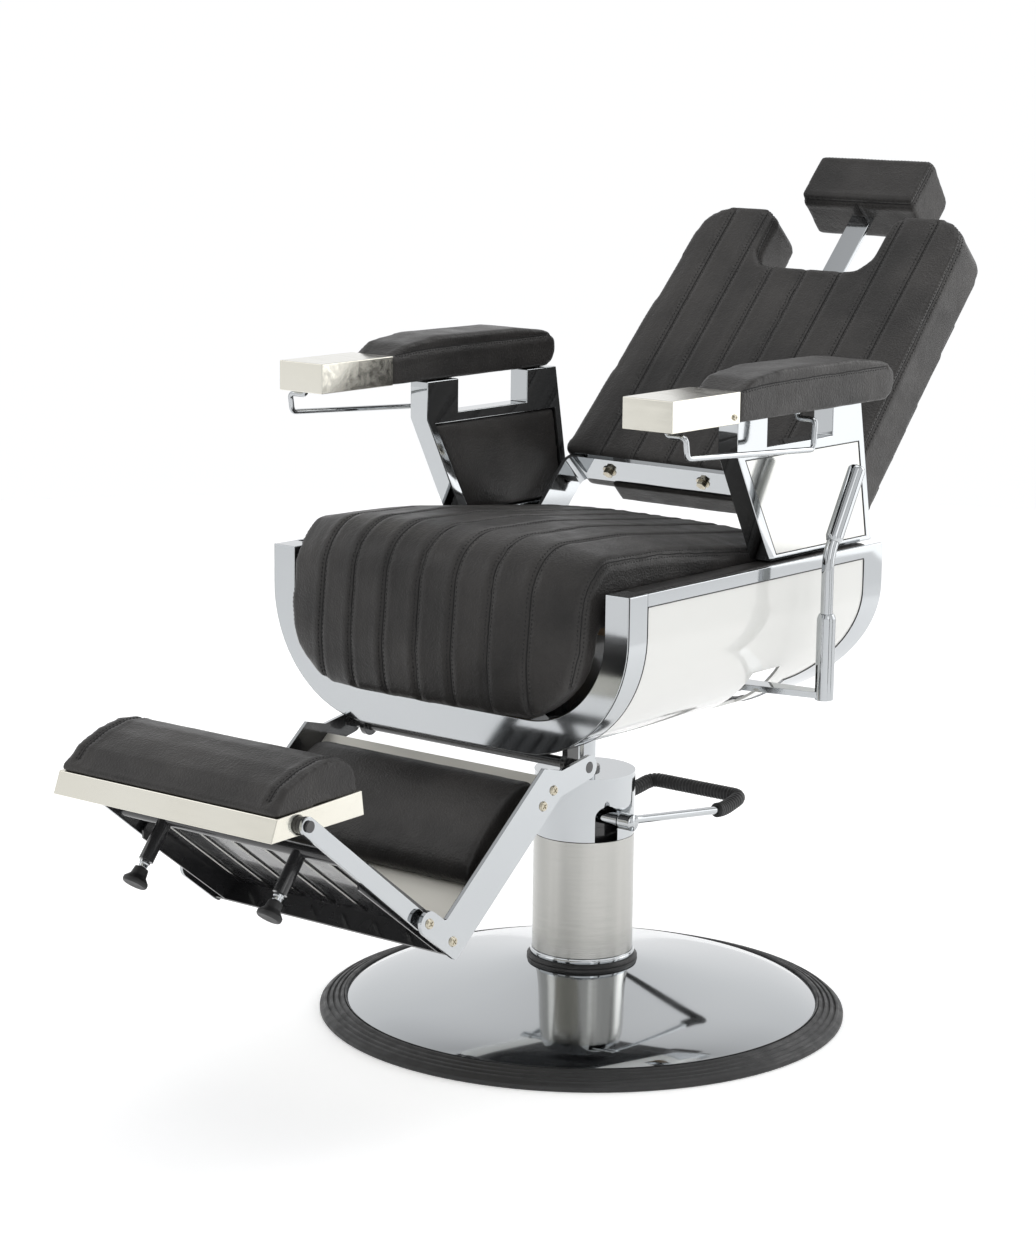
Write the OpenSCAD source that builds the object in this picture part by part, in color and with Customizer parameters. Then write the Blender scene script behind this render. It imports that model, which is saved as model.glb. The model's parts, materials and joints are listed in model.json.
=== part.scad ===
// Hydraulic barber chair. Millimetres, +Z up, the sitter faces -Y.
// The origin is on the floor, on the axis of the column.

/* [Base and column] */
// Radius of the floor base over its rubber ring
base_r = 350; // [330:5:370]
// Width of the rubber ring
ring_w = 36; // [30:1:42]
// Height of the rubber ring
ring_h = 20; // [18:1:24]
// Height of the chrome dome where the column stands
dome_h = 70; // [60:1:76]
// Outer radius of the column sleeves
column_r = 67; // [64:1:70]
// Height of the seam between the two column sleeves
seam_z = 244.5; // [235:0.5:255]
// Height of the top of the column
column_top_z = 329; // [325:1:335]
// Diameter of the piston rod
rod_d = 28; // [26:1:30]

/* [Seat tub] */
// Half the outer width of the seat tub
tub_w = 287; // [280:1:295]
// Front of the tub, along Y
tub_front = -292; // [-300:1:-285]
// Back of the tub, along Y
tub_back = 260; // [255:1:270]
// Bottom of the tub
tub_bottom = 420; // [415:1:430]
// Top rim of the tub
tub_top = 633; // [625:1:640]
// Outer radius of the lower corners, seen from the front
tub_corner = 162; // [150:2:166]
// Width of the chrome front frame's face
frame_w = 36; // [30:1:42]

/* [Backrest] */
// Lean of the backrest away from vertical, in degrees
back_lean = 44; // [40:1:48]
// Length of the backrest cushion
back_len = 460; // [440:5:480]
// Half the width of the cushion at its lower end
back_w_low = 235.5; // [230:0.5:245]
// Half the width of the cushion at its upper end
back_w_top = 219; // [205:1:230]
// Thickness of the cushion
back_t = 80; // [70:1:90]

/* [Leg rest and footrest] */
// Slope of the leg rest below horizontal, in degrees
leg_slope = 39.5; // [38:0.5:41]
// Half the distance over the leg rest's side plates
leg_w = 196; // [190:1:200]
// Half the width of the footrest tray
tray_w = 174; // [170:1:178]

/* [Hidden] */

smooth = 64;

// Colours
chrome = "#d4d7da";
steel = "#c9c7bf";
black_leather = "#1d1c1c";
black_rubber = "#151515";
black_steel = "#1b1b1c";
ivory = "#ebebe4";

// Column stack
ring_inner = base_r - ring_w;
gasket_top = 79;
collar_top = 86;
sleeve_wall = 2.5;
rod_r = rod_d / 2;
rod_fit = 0.05;
rod_bottom = 96;
piston_r = 33.9;
bore_r = 34;
bolt_circle = 59;

// Pump lever
lever_z = 277;
lever_y = -28;
shaft_r = 9;
hub_x = 100;
loop_half = 76;
loop_reach = 254;
loop_end_z = 256;
bend_y = 207;
bend_z = 247;
loop_r = 5.5;

// Seat
mount_t = 8;

// Backrest pivot and axes: up is along the cushion, out is into its thickness
pivot_y = 178;
pivot_z = 607;
back_y = 240;
back_z = 706;
arm_x = 222;

// Leg rest: hinge, slope directions
hinge_y = -245;
hinge_z = 405;
leg_y = -333;
leg_z = 418.7;
link_y = -544;
link_z = 272;
platform_half = 175;
tray_y = -738;
tray_z = 424;

// Recline lever
lever_x = 335;
lever_tube_y = 58;

// ---------- helpers ----------

// Points of an arc, in degrees, anticlockwise from a0 to a1 (or clockwise when a1 < a0)
function arc(cx, cy, r, a0, a1, n = 12) =
    [for (i = [0 : n]) let (a = a0 + (a1 - a0) * i / n) [cx + r * cos(a), cy + r * sin(a)]];

// Extrudes an outline drawn in (y, z) between x0 and x1
module along_x(x0, x1) {
    translate([x0, 0, 0]) rotate([90, 0, 90]) linear_extrude(x1 - x0) children();
}

// Extrudes an outline drawn in (x, z) between y0 and y1
module along_y(y0, y1) {
    translate([0, y1, 0]) rotate([90, 0, 0]) linear_extrude(y1 - y0) children();
}

// Both sides of the chair
module both_sides() {
    children();
    mirror([1, 0, 0]) children();
}

// A round bar between two points
module bar(a, b, r, sides = 32) {
    d = b - a;
    len = norm(d);
    translate(a) rotate([0, acos(d[2] / len), atan2(d[1], d[0])]) cylinder(h = len, r = r, $fn = sides);
}

function unit(v) = v / norm(v);

// Route through corners, with each inner corner rounded to a radius by a quadratic blend
function rounded_route(p, r, n = 5) = concat([p[0]],
    [for (i = [1 : len(p) - 2]) let (
        a = p[i] + unit(p[i - 1] - p[i]) * r,
        b = p[i] + unit(p[i + 1] - p[i]) * r)
        for (k = [0 : n]) let (t = k / n) (1 - t) * (1 - t) * a + 2 * t * (1 - t) * p[i] + t * t * b],
    [p[len(p) - 1]]);

// A solid tube swept along a route; up is a direction that the route never follows
module swept(p, r, up = [0, 0, 1], sides = 12) {
    n = len(p);
    dirs = [for (i = [0 : n - 1]) unit(p[min(i + 1, n - 1)] - p[max(i - 1, 0)])];
    points = [for (i = [0 : n - 1]) let (u = unit(cross(dirs[i], up)), v = cross(u, dirs[i]))
        for (k = [0 : sides - 1]) p[i] + r * (cos(360 * k / sides) * u + sin(360 * k / sides) * v)];
    walls = [for (i = [0 : n - 2], k = [0 : sides - 1]) let (a = i * sides + k, b = i * sides + (k + 1) % sides)
        [a, b, b + sides, a + sides]];
    polyhedron(points, concat([[for (k = [sides - 1 : -1 : 0]) k]], walls,
        [[for (k = [0 : sides - 1]) (n - 1) * sides + k]]));
}

// Places children in the backrest's own axes: X across, Y into the thickness, Z up the cushion
module in_back() {
    translate([0, back_y, back_z]) rotate([-back_lean, 0, 0]) children();
}

// Places children in the leg rest's axes: X across, Y up its slope, Z out of its upper face
module in_leg() {
    translate([0, leg_y, leg_z]) rotate([leg_slope, 0, 0]) children();
}

// Places children in the footrest arms' axes: X across, Y back to the lower pivot, Z above
arm_angle = atan2(tray_z - link_z, link_y - tray_y);
module in_arm() {
    translate([0, link_y, link_z]) rotate([-arm_angle, 0, 0]) children();
}

// A countersunk screw head on a face that points along +X
module screw_head(r) {
    rotate([0, 90, 0]) difference() {
        cylinder(h = 2.4, r1 = r, r2 = r * 0.82, $fn = 32);
        for (a = [0, 90]) rotate([0, 0, a]) translate([-r * 0.6, -r * 0.11, 1.2]) cube([r * 1.2, r * 0.22, 3]);
    }
}

// ---------- base and column ----------

module base_plate() {
    color("#5a5a5c") difference() {
        union() {
            cylinder(h = 10, r = ring_inner - 4, $fn = smooth);
            cylinder(h = 14, r = 69, $fn = smooth);
        }
        for (a = [45 : 90 : 315]) rotate([0, 0, a]) translate([bolt_circle, 0, -1])
            cylinder(h = 16, r = 4.2, $fn = 24);
    }
}

// Chrome dome: a spun shell with a rounded shoulder that rises as a low cone to the column's seat
module base_dome() {
    rise = dome_h - ring_h + 2;
    shoulder = 0.2;
    top = [for (i = [0 : 20]) let (t = pow(i / 20, 1.5), r = ring_inner + (74 - ring_inner) * t)
        [r, ring_h - 2 + rise * ((1 - shoulder) * t + shoulder * (1 - pow(1 - t, 9)))]];
    under = [for (i = [20 : -1 : 0]) [top[i][0] - 1.2, top[i][1] - 3]];
    color(chrome) rotate_extrude($fn = 128)
        polygon(concat([[ring_inner, 10.5]], top, [[54, dome_h], [54, dome_h - 3]], under, [[ring_inner - 3, 10.5]]));
}

// Rubber ring with four raised ribs on its sloping top
module base_ring() {
    slope = ring_h - 9;
    ribs = [for (i = [0 : 3]) let (r = base_r - 5 - i * 7.6, z = 9 + slope * (i * 7.6 + 5) / ring_w)
        each [[r, z], [r - 1.4, z + 2.2], [r - 4.4, z + 3], [r - 5.6, z + 0.6]]];
    color(black_rubber) rotate_extrude($fn = 128)
        polygon(concat([[ring_inner + 0.2, 0], [base_r - 2, 0], [base_r, 2], [base_r, 7], [base_r - 2, 9]],
            ribs, [[ring_inner + 3, ring_h + 1.6], [ring_inner + 0.2, ring_h]]));
}

// Ribbed rubber gasket between the dome and the collar
module column_gasket() {
    grooves = [for (i = [0 : 1]) let (z = dome_h + 1.4 + i * 3) each [[73.6, z], [73.6, z + 1.6], [72.4, z + 2], [72.4, z + 2.6]]];
    color(black_rubber) rotate_extrude($fn = 96)
        polygon(concat([[58, dome_h], [74, dome_h]], grooves, [[70, gasket_top], [58, gasket_top]]));
}

module column_collar() {
    color(chrome) rotate_extrude($fn = 96)
        polygon(concat([[58, gasket_top], [69, gasket_top]], arc(69.5 - 2, gasket_top + 3, 2, 0, 60, 4),
            [[68.4, collar_top], [58, collar_top]]));
}

module column_sleeve() {
    color(steel) difference() {
        translate([0, 0, collar_top]) cylinder(h = seam_z - collar_top - 0.6, r = column_r, $fn = 96);
        translate([0, 0, collar_top - 1]) cylinder(h = seam_z, r = column_r - sleeve_wall, $fn = 96);
    }
}

// Upper shroud, closed on top, with an arched slot on each side for the pump shaft
module column_shroud() {
    slot_w = 15;
    color(chrome) difference() {
        translate([0, 0, seam_z]) cylinder(h = column_top_z - seam_z, r = column_r, $fn = 96);
        translate([0, 0, seam_z - 1]) cylinder(h = column_top_z - seam_z - 1.5, r = column_r - sleeve_wall, $fn = 96);
        translate([0, 0, seam_z]) cylinder(h = 100, r = 20.3, $fn = 48);
        translate([14, -46, column_top_z - 4]) cylinder(h = 6, r = 2.2, $fn = 24);
        along_x(-90, 90) polygon(concat([[lever_y + slot_w, seam_z - 1]],
            arc(lever_y, lever_z, slot_w, 0, 180, 16), [[lever_y - slot_w, seam_z - 1]]));
    }
}

// Hydraulic cylinder: a closed pot with the piston's bore
module pump_cylinder() {
    color(black_steel) difference() {
        translate([0, 0, 14.2]) cylinder(h = 245.8, r = 50, $fn = smooth);
        translate([0, 0, 24]) cylinder(h = 260, r = bore_r, $fn = smooth);
    }
}

// Pump head: closes the cylinder, guides the rod and carries the lever's cross shaft
module pump_head() {
    color(black_steel) difference() {
        translate([0, 0, 260.2]) cylinder(h = 50, r = 50, $fn = smooth);
        translate([0, 0, 250]) cylinder(h = 70, r = rod_r + rod_fit, $fn = smooth);
        translate([-60, lever_y, lever_z]) rotate([0, 90, 0]) cylinder(h = 120, r = shaft_r + rod_fit, $fn = 48);
    }
}

// Seal collar round the rod, standing just above the column
module rod_gland() {
    color(black_steel) difference() {
        translate([0, 0, 310.4]) cylinder(h = 24, r = 20, $fn = 48);
        translate([0, 0, 300]) cylinder(h = 50, r = rod_r + 1, $fn = 48);
    }
}

module base_bolts() {
    color("#8a8a8a") for (a = [45 : 90 : 315]) rotate([0, 0, a]) translate([bolt_circle, 0, 0]) {
        translate([0, 0, 1.5]) cylinder(h = 12.5, r = 4, $fn = 24);
        translate([0, 0, 14]) cylinder(h = 6, r = 7.5, $fn = 6);
    }
}

// ---------- pump lever ----------

// Route of the lever's loop: out of one hub, round the back of the column, into the other
arm_route = [[hub_x - 8, lever_y, lever_z], [hub_x - 8, lever_y + 20, lever_z - 1], [loop_half + 3, bend_y, bend_z]];
loop_end = [[loop_half, loop_reach, loop_end_z], [-loop_half, loop_reach, loop_end_z]];
loop_route = concat(arm_route, loop_end, [for (i = [2 : -1 : 0]) [-arm_route[i][0], arm_route[i][1], arm_route[i][2]]]);

// Cross shaft with a hub at each end and the U-shaped loop
module pump_lever() {
    color(chrome) {
        bar([-hub_x, lever_y, lever_z], [hub_x, lever_y, lever_z], shaft_r, 48);
        both_sides() bar([hub_x - 18, lever_y, lever_z], [hub_x + 3, lever_y, lever_z], 11, 48);
        swept(rounded_route(loop_route, 15), loop_r);
    }
}

// Ribbed rubber grip over the outer run of the loop
grip_y = 190;
grip_start = arm_route[1] + (arm_route[2] - arm_route[1]) * (grip_y - arm_route[1][1]) / (bend_y - arm_route[1][1]);
grip_route = rounded_route(concat([grip_start, arm_route[2]], loop_end,
    [[-arm_route[2][0], bend_y, bend_z], [-grip_start[0], grip_y, grip_start[2]]]), 15);
grip_lead = unit(grip_start - arm_route[2]) * 3;
module pump_grip() {
    color(black_rubber) difference() {
        swept(grip_route, 10);
        swept(concat([grip_start + grip_lead], grip_route,
            [[-grip_start[0] - grip_lead[0], grip_y + grip_lead[1], grip_start[2] + grip_lead[2]]]), loop_r + 0.3);
    }
}

// ---------- lift ----------

// Piston, rod and the spindle that the seat turns on
module piston_rod() {
    color(chrome) union() {
        translate([0, 0, rod_bottom]) cylinder(h = 26, r = piston_r, $fn = smooth);
        translate([0, 0, rod_bottom]) cylinder(h = 312, r = rod_r, $fn = smooth);
        translate([0, 0, 400]) cylinder(h = 44, r = 11, $fn = 48);
    }
}

// Hub that turns on the spindle
module seat_hub() {
    color(chrome) difference() {
        union() {
            translate([0, 0, 408.4]) cylinder(h = 40, r = 24, $fn = smooth);
            translate([0, 0, 432.2]) cylinder(h = 10, r = 52, $fn = smooth);
        }
        translate([0, 0, 400]) cylinder(h = 44.5, r = 11 + rod_fit, $fn = 48);
    }
}

// Steel chassis plate with two rails under the seat board
module seat_mount() {
    color(black_steel) difference() {
        union() {
            translate([-125, -200, 424]) cube([250, 380, mount_t]);
            both_sides() translate([117, -200, 424]) cube([8, 380, 146]);
        }
        translate([0, 0, 400]) cylinder(h = 50, r = 24.5, $fn = smooth);
        translate([100, lever_pivot_y, lever_pivot_z]) rotate([0, 90, 0]) cylinder(h = 40, r = 7 + rod_fit, $fn = 48);
    }
}

// ---------- seat tub ----------

// Solid U seen from the front: straight sides and rounded lower corners
module u_solid(half, bottom, r, top = tub_top) {
    intersection() {
        union() {
            translate([-half, bottom + r]) square([2 * half, 500]);
            translate([-half + r, bottom]) square([2 * (half - r), r + 1]);
            for (s = [-1, 1]) translate([s * (half - r), bottom + r]) circle(r, $fn = 96);
        }
        translate([-half - 1, bottom - 1]) square([2 * half + 2, top - bottom + 1]);
    }
}

// Side view of the tub: square in front, rounded at the lower rear corner
module tub_side(inset, top) {
    r = 150 - inset;
    intersection() {
        union() {
            translate([tub_front, tub_bottom]) square([110 - tub_front, top - tub_bottom]);
            translate([109, 570]) square([r + 1, top - 570]);
            translate([110, 570]) circle(r, $fn = 96);
        }
        translate([tub_front - 10, tub_bottom]) square([700, top - tub_bottom]);
    }
}

// Skin of the tub between two insets
module tub_skin(outer, inner) {
    along_y(tub_front + 38, tub_back + 5) difference() {
        u_solid(tub_w - outer, tub_bottom + outer, tub_corner - outer);
        u_solid(tub_w - inner, tub_bottom + inner, tub_corner - inner, tub_top + 5);
    }
}

// Chrome U-shaped frame round the front of the tub
module front_frame() {
    color(chrome) along_y(tub_front, tub_front + 38) difference() {
        u_solid(tub_w, tub_bottom, tub_corner);
        u_solid(tub_w - frame_w, tub_bottom + frame_w + 7.5, 116, tub_top + 5);
    }
}

panel_bottom_x = 150;

// Chrome trim along the top and rear of each side
module side_trims() {
    color(chrome) difference() {
        intersection() {
            tub_skin(0, 5);
            along_x(-300, 300) difference() {
                tub_side(0, tub_top);
                tub_side(44, tub_top - 16);
            }
        }
        translate([-panel_bottom_x, -300, 400]) cube([2 * panel_bottom_x, 700, 100]);
    }
}

// Glossy panels inside the trim, with a slot for the recline lever on the right
module side_panels() {
    color(ivory) difference() {
        intersection() {
            tub_skin(1, 4.5);
            along_x(-300, 300) tub_side(44.4, tub_top - 16.4);
        }
        translate([-panel_bottom_x, -300, 400]) cube([2 * panel_bottom_x, 700, 100]);
        translate([190, 10, 430]) cube([72, 60, 62]);
    }
}

// Black pan that closes the bottom of the tub
module seat_floor() {
    color(black_steel) difference() {
        intersection() {
            tub_skin(0.4, 3.4);
            along_x(-300, 300) tub_side(1, tub_top);
            translate([0.4 - panel_bottom_x, -300, 400]) cube([2 * panel_bottom_x - 0.8, 700, 100]);
        }
        translate([0, 0, 400]) cylinder(h = 50, r = 24.5, $fn = smooth);
    }
}

// Plywood board under the cushion
module seat_board() {
    color("#8d7454") translate([-225, -240, 570.4]) cube([450, 380, 14]);
}

// Upholstered filler along the inside of each wall
module side_liners() {
    color(black_leather) both_sides() translate([238.4, -253, 545]) cube([34, 500, 87]);
}

seat_half = 236;
// Seat cushion: a slab whose front rolls down inside the U frame
module seat_cushion() {
    side = concat([[148, 585], [148, 652]], [[-150, 684]], arc(-262, 618, 70, 78, 170, 10),
        [[-340, 540], [-336, 500]], arc(-312, 492, 22, 200, 300, 5), [[-296, 585]]);
    color(black_leather) intersection() {
        along_x(-seat_half, seat_half) polygon(side);
        along_y(-360, 200) u_solid(seat_half, 469, 104, 700);
    }
}

// ---------- arms ----------

arm_in = 237;
arm_out = 267;
arm_top = 826;

module arm_outline() {
    polygon([[-48, arm_top], [-48, 775], [28, 634], [262, 634], [226, arm_top]]);
}

// Chrome side frame: a slanted post, a window below the pad and a panel opening
module arm_frames() {
    color(chrome) both_sides() along_x(arm_in, arm_out) difference() {
        arm_outline();
        translate([16, 781]) square([147, 60]);
        polygon([[-30, 768], [226, 768], [250, 641], [43, 641]]);
    }
}

module arm_outer_panels() {
    color(chrome) both_sides() along_x(arm_out - 5, arm_out - 1)
        polygon([[-29.4, 767.6], [225.6, 767.6], [249.4, 641.4], [43.2, 641.4]]);
}

module arm_inner_panels() {
    color(black_leather) both_sides() along_x(arm_in + 2, arm_out - 5.4)
        polygon([[-29.4, 767.6], [225.6, 767.6], [249.4, 641.4], [43.2, 641.4]]);
}

cap_in = 241;
cap_out = 315;
cap_front = -251.5;
cap_rear = -113;
cap_top = 864.8;

// Polished cap: a folded box, open towards the pad
module arm_caps() {
    color("#ddd8cb") both_sides() difference() {
        translate([cap_in, cap_front, arm_top + 0.4]) cube([cap_out - cap_in, cap_rear - cap_front, cap_top - arm_top]);
        translate([cap_in + 2.5, cap_front + 2.5, arm_top + 3])
            cube([cap_out - cap_in - 5, cap_rear - cap_front, cap_top - arm_top - 5]);
    }
}

// Padded armrest behind the cap
module arm_pads() {
    side = concat([[cap_rear + 0.5, arm_top + 0.4], [212, arm_top + 0.4]], arc(209, arm_top + 25, 25, -80, 85, 8),
        [[150, 884], [-20, 886], [-80, 878], [cap_rear + 0.5, 862]]);
    color(black_leather) both_sides() along_x(cap_in + 1, cap_out - 1) polygon(side);
}

// A bar through corners, with a ball at each bend
module bent_bar(p, r) {
    for (i = [1 : len(p) - 1]) bar(p[i - 1], p[i], r);
    for (i = [1 : len(p) - 2]) translate(p[i]) sphere(r = r * 1.05, $fn = 32);
}

// Wire towel bars under the arms
module towel_bars() {
    x = 318;
    color(chrome) both_sides() {
        bent_bar([[290, -228, 820], [x, -228, 820], [x, -224, 795], [x, 42, 780], [x, 46, 817], [290, 46, 817]], 4);
        for (y = [-228, 46]) translate([290, y, 812]) cylinder(h = arm_top + 0.2 - 812, r = 6, $fn = 32);
    }
}

module arm_screws() {
    color("#b9b2a0") both_sides() translate([cap_out, cap_rear - 12, 835]) screw_head(4);
}

// ---------- back ----------

// Pivot studs inside the tub walls
module back_pivots() {
    color(steel) both_sides() {
        bar([210, pivot_y, pivot_z], [230, pivot_y, pivot_z], 8, 48);
        bar([226.5, pivot_y, pivot_z], [238.4, pivot_y, pivot_z], 17, 48);
        bar([207, pivot_y, pivot_z], [218, pivot_y, pivot_z], 12, 48);
    }
}

strap_t = 6;
strap_w = 50;
pivot_s = -114.3;
pivot_d = 24.2;
lip_half = 168;

// Strap bent into a U: across the bottom of the cushion and down both sides to the pivots
module back_bracket() {
    eye = 25;
    color(chrome) in_back() difference() {
        union() {
            translate([-arm_x + 12, 0, -strap_t - 1]) cube([2 * arm_x - 24, strap_w, strap_t]);
            both_sides() {
                translate([arm_x - strap_t / 2, 0, pivot_s]) cube([strap_t, strap_w, -pivot_s - 17]);
                translate([arm_x - strap_t / 2, pivot_d + 0.8, pivot_s]) rotate([0, 90, 0]) cylinder(h = strap_t, r = eye, $fn = 64);
                translate([arm_x + strap_t / 2 - 18, 0, -19]) rotate([-90, 0, 0]) rotate([0, 0, -90]) rotate_extrude(angle = 90, $fn = 64)
                    translate([18 - strap_t, 0]) square([strap_t, strap_w]);
            }
        }
        translate([-300, pivot_d, pivot_s]) rotate([0, 90, 0]) cylinder(h = 600, r = 8 + rod_fit, $fn = 48);
    }
}

// Hex bolts through the strap into the cushion's board
module back_bolts() {
    color("#b9b2a0") in_back() for (x = [-160, 0, 160]) translate([x, strap_w / 2, -strap_t - 1]) {
        translate([0, 0, -1.5]) cylinder(h = 1.4, r = 10, $fn = 32);
        translate([0, 0, -7.5]) cylinder(h = 6, r = 7.5, $fn = 6);
    }
}

// Front outline of the backrest with its headrest notch
module back_outline(inset = 0) {
    top = back_w_top - inset;
    low = back_w_low - inset;
    h = back_len - inset;
    r = 46;
    notch = 97 + inset;
    notch_z = back_len - 103 - inset;
    polygon(concat(
        [[-low + 8, inset], [low - 8, inset], [low, inset + 10]],
        arc(top - r + 1, h - r, r, 4, 90, 8), arc(notch + 22, h - 20, 20, 90, 180, 5),
        arc(notch - 34, notch_z + 34, 34, 0, -90, 6),
        arc(-notch + 34, notch_z + 34, 34, -90, -180, 6), arc(-notch - 22, h - 20, 20, 0, 90, 5),
        arc(-top + r - 1, h - r, r, 90, 176, 8), [[-low, inset + 10]]));
}

module back_cushion() {
    color(black_leather) in_back() difference() {
        translate([0, back_t, 0]) rotate([90, 0, 0]) linear_extrude(back_t) back_outline();
        translate([-30, 36, 190]) cube([60, 60, 200]);
    }
}

// Rear board that closes the back of the cushion, with a lip that turns under it behind the strap
module back_board() {
    color(black_leather) in_back() {
        translate([0, back_t + 6, 0]) rotate([90, 0, 0]) linear_extrude(5.8) back_outline(7);
        translate([-lip_half, strap_w + 1.5, -12]) cube([2 * lip_half, back_t + 6 - strap_w - 1.5, 11.5]);
        translate([-lip_half, back_t + 0.2, -2]) cube([2 * lip_half, 5.8, 20]);
    }
}

bar_w = 36;
bar_t = 5;
bar_d = 56;

// Steel sleeve that holds the headrest bar
module headrest_socket() {
    color(black_steel) in_back() difference() {
        translate([-bar_w / 2 - 5, bar_d - 6, 195]) cube([bar_w + 10, bar_t + 12, 155]);
        translate([-bar_w / 2 - 0.4, bar_d - 0.4, 190]) cube([bar_w + 0.8, bar_t + 0.8, 170]);
    }
}

module headrest_bar() {
    color(chrome) in_back() translate([-bar_w / 2, bar_d, 262]) cube([bar_w, bar_t, 244]);
}

head_half = 93;
module headrest_cushion() {
    side = concat([[22, 508], [22, 576]], arc(32, 576, 10, 170, 95, 3), arc(89, 561, 14, 75, 5, 3),
        arc(93, 509, 10, -5, -95, 3), [[34, 503]]);
    color(black_leather) in_back() difference() {
        along_x(-head_half, head_half) polygon(side);
        translate([-bar_w / 2, bar_d, 480]) cube([bar_w, bar_t, 26]);
    }
}

// ---------- leg rest ----------

plate_t = 5;
hinge_r = 7;

// A point (y, z) of the chair in the leg rest's axes
function leg_point(y, z) = [(y - leg_y) * cos(leg_slope) + (z - leg_z) * sin(leg_slope),
    (z - leg_z) * cos(leg_slope) - (y - leg_y) * sin(leg_slope)];
hinge_eye = leg_point(hinge_y, hinge_z);
link_eye = leg_point(link_y, link_z);

// Side view of a leg plate, in the leg rest's axes
module leg_plate_outline() {
    polygon(concat([[0, 0]], arc(-231, 6, 6, -90, -140, 3), arc(link_eye[0], link_eye[1], 15, 10, 195, 12),
        [[-256, -46]], arc(-250, -48, 5, 190, 250, 3), [[-221, -52], [0, -52]],
        arc(hinge_eye[0], hinge_eye[1], 15, -120, 75, 10), [[21, -28]]));
}

// Chrome side plates, bored for the hinge shaft and the footrest pins
module leg_plates() {
    color(chrome) both_sides() in_leg() difference() {
        along_x(leg_w - plate_t, leg_w) leg_plate_outline();
        translate([leg_w - 10, hinge_eye[0], hinge_eye[1]]) rotate([0, 90, 0])
            cylinder(h = 20, r = hinge_r + rod_fit, $fn = 48);
        translate([leg_w - 10, link_eye[0], link_eye[1]]) rotate([0, 90, 0])
            cylinder(h = 20, r = pin_r + rod_fit, $fn = 48);
    }
}

// Brackets under the tub with the shaft that the leg rest turns on
module leg_hinges() {
    color(black_steel) {
        both_sides() along_x(160, 168) {
            translate([hinge_y - 8.6, hinge_z]) square([22.6, tub_bottom - hinge_z + 4.6]);
            translate([hinge_y, hinge_z]) circle(14, $fn = 48);
        }
        bar([-leg_w, hinge_y, hinge_z], [leg_w, hinge_y, hinge_z], hinge_r, 48);
    }
}

// Polished sheet between the side plates
module leg_panel() {
    color(steel) in_leg() {
        translate([-leg_w + plate_t + 0.2, -222.6, -44]) cube([2 * (leg_w - plate_t) - 0.4, 238.6, 4]);
    }
}

module calf_pad() {
    side = [[-8, -39.6], [-6, -24], [-20, -10], [-52, -1], [-84, 2], [-116, -1], [-148, -10], [-162, -24], [-160, -39.6]];
    color(black_leather) in_leg() along_x(-170, 170) polygon(side);
}

// Foot platform: a folded sheet with a lower flange, side flanges and pressed ribs, nearly square to the leg rest
module foot_platform() {
    section = [[-223.1, -44], [-255, -44], [-255, -41], [-227, -41], [-269.4, 138.4], [-265.5, 139.3], [-223.1, -40.1]];
    flange = [[-226, -42], [-254.9, -42], [-296, 128], [-290, 136], [-268, 138.2]];
    pressed_rib = [[-228.9, -28.8], [-231.4, -29.4], [-269, 129.6], [-266.5, 130.2]];
    color(black_steel) in_leg() {
        difference() {
            along_x(-leg_w + plate_t + 0.2, leg_w - plate_t - 0.2) polygon(section);
            both_sides() translate([platform_half, -300, -4]) cube([40, 100, 160]);
        }
        both_sides() along_x(platform_half - 3, platform_half) polygon(flange);
        for (i = [-3 : 3]) along_x(i * 52 - 1.5, i * 52 + 1.5) polygon(pressed_rib);
    }
}

module platform_ribs() {
    color(black_rubber) in_leg() for (i = [-6 : 6]) along_x(i * 26 - 4, i * 26 + 4)
        polygon([[-224.4, -34], [-263.6, 132], [-260.7, 132.7], [-221.5, -33.3]]);
}

module leg_screws() {
    spots = [[-5, -34.4], [-30.6, -34], [-243, -29.5], link_eye];
    color("#b9b2a0") both_sides() in_leg() for (p = spots) translate([leg_w, p[0], p[1]]) screw_head(6.5);
}

// ---------- footrest ----------

arm_len = norm([tray_y - link_y, tray_z - link_z]);
arm_x0 = 180;
arm_w = 22;
pin_r = 5;

// Pins through the leg plates, with the chrome spacers
module lower_pins() {
    color(chrome) both_sides() {
        bar([arm_x0 - 3, link_y, link_z], [leg_w, link_y, link_z], pin_r, 32);
        bar([arm_x0 + 5.3, link_y, link_z], [leg_w - plate_t, link_y, link_z], 8, 32);
        bar([arm_x0 - 3.3, link_y, link_z], [arm_x0 - 0.3, link_y, link_z], 8, 32);
    }
}

// Flat chrome arms that carry the tray
module footrest_arms() {
    color(chrome) both_sides() in_arm() along_x(arm_x0, arm_x0 + 5) difference() {
        union() {
            circle(arm_w / 2, $fn = 48);
            translate([-arm_len, 0]) circle(arm_w / 2, $fn = 48);
            translate([-arm_len, -arm_w / 2]) square([arm_len, arm_w]);
        }
        circle(pin_r + rod_fit, $fn = 48);
        translate([-arm_len, 0]) circle(pin_r + rod_fit, $fn = 48);
    }
}

post_y = -158;
post_x = 108;

module cross_bar() {
    color(black_steel) in_arm() bar([-arm_x0, post_y, 0], [arm_x0, post_y, 0], 8, 48);
}

// Posts that stand on the floor when the leg rest is down
module support_posts() {
    color(black_steel) in_arm() for (s = [-1, 1]) difference() {
        union() {
            bar([s * post_x, post_y, -3], [s * post_x, post_y, -56], 9, 48);
            bar([s * post_x, post_y, -55], [s * post_x, post_y, -66], 4.5, 48);
        }
        bar([s * post_x - 20, post_y, 0], [s * post_x + 20, post_y, 0], 8 + rod_fit, 48);
    }
}

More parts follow.
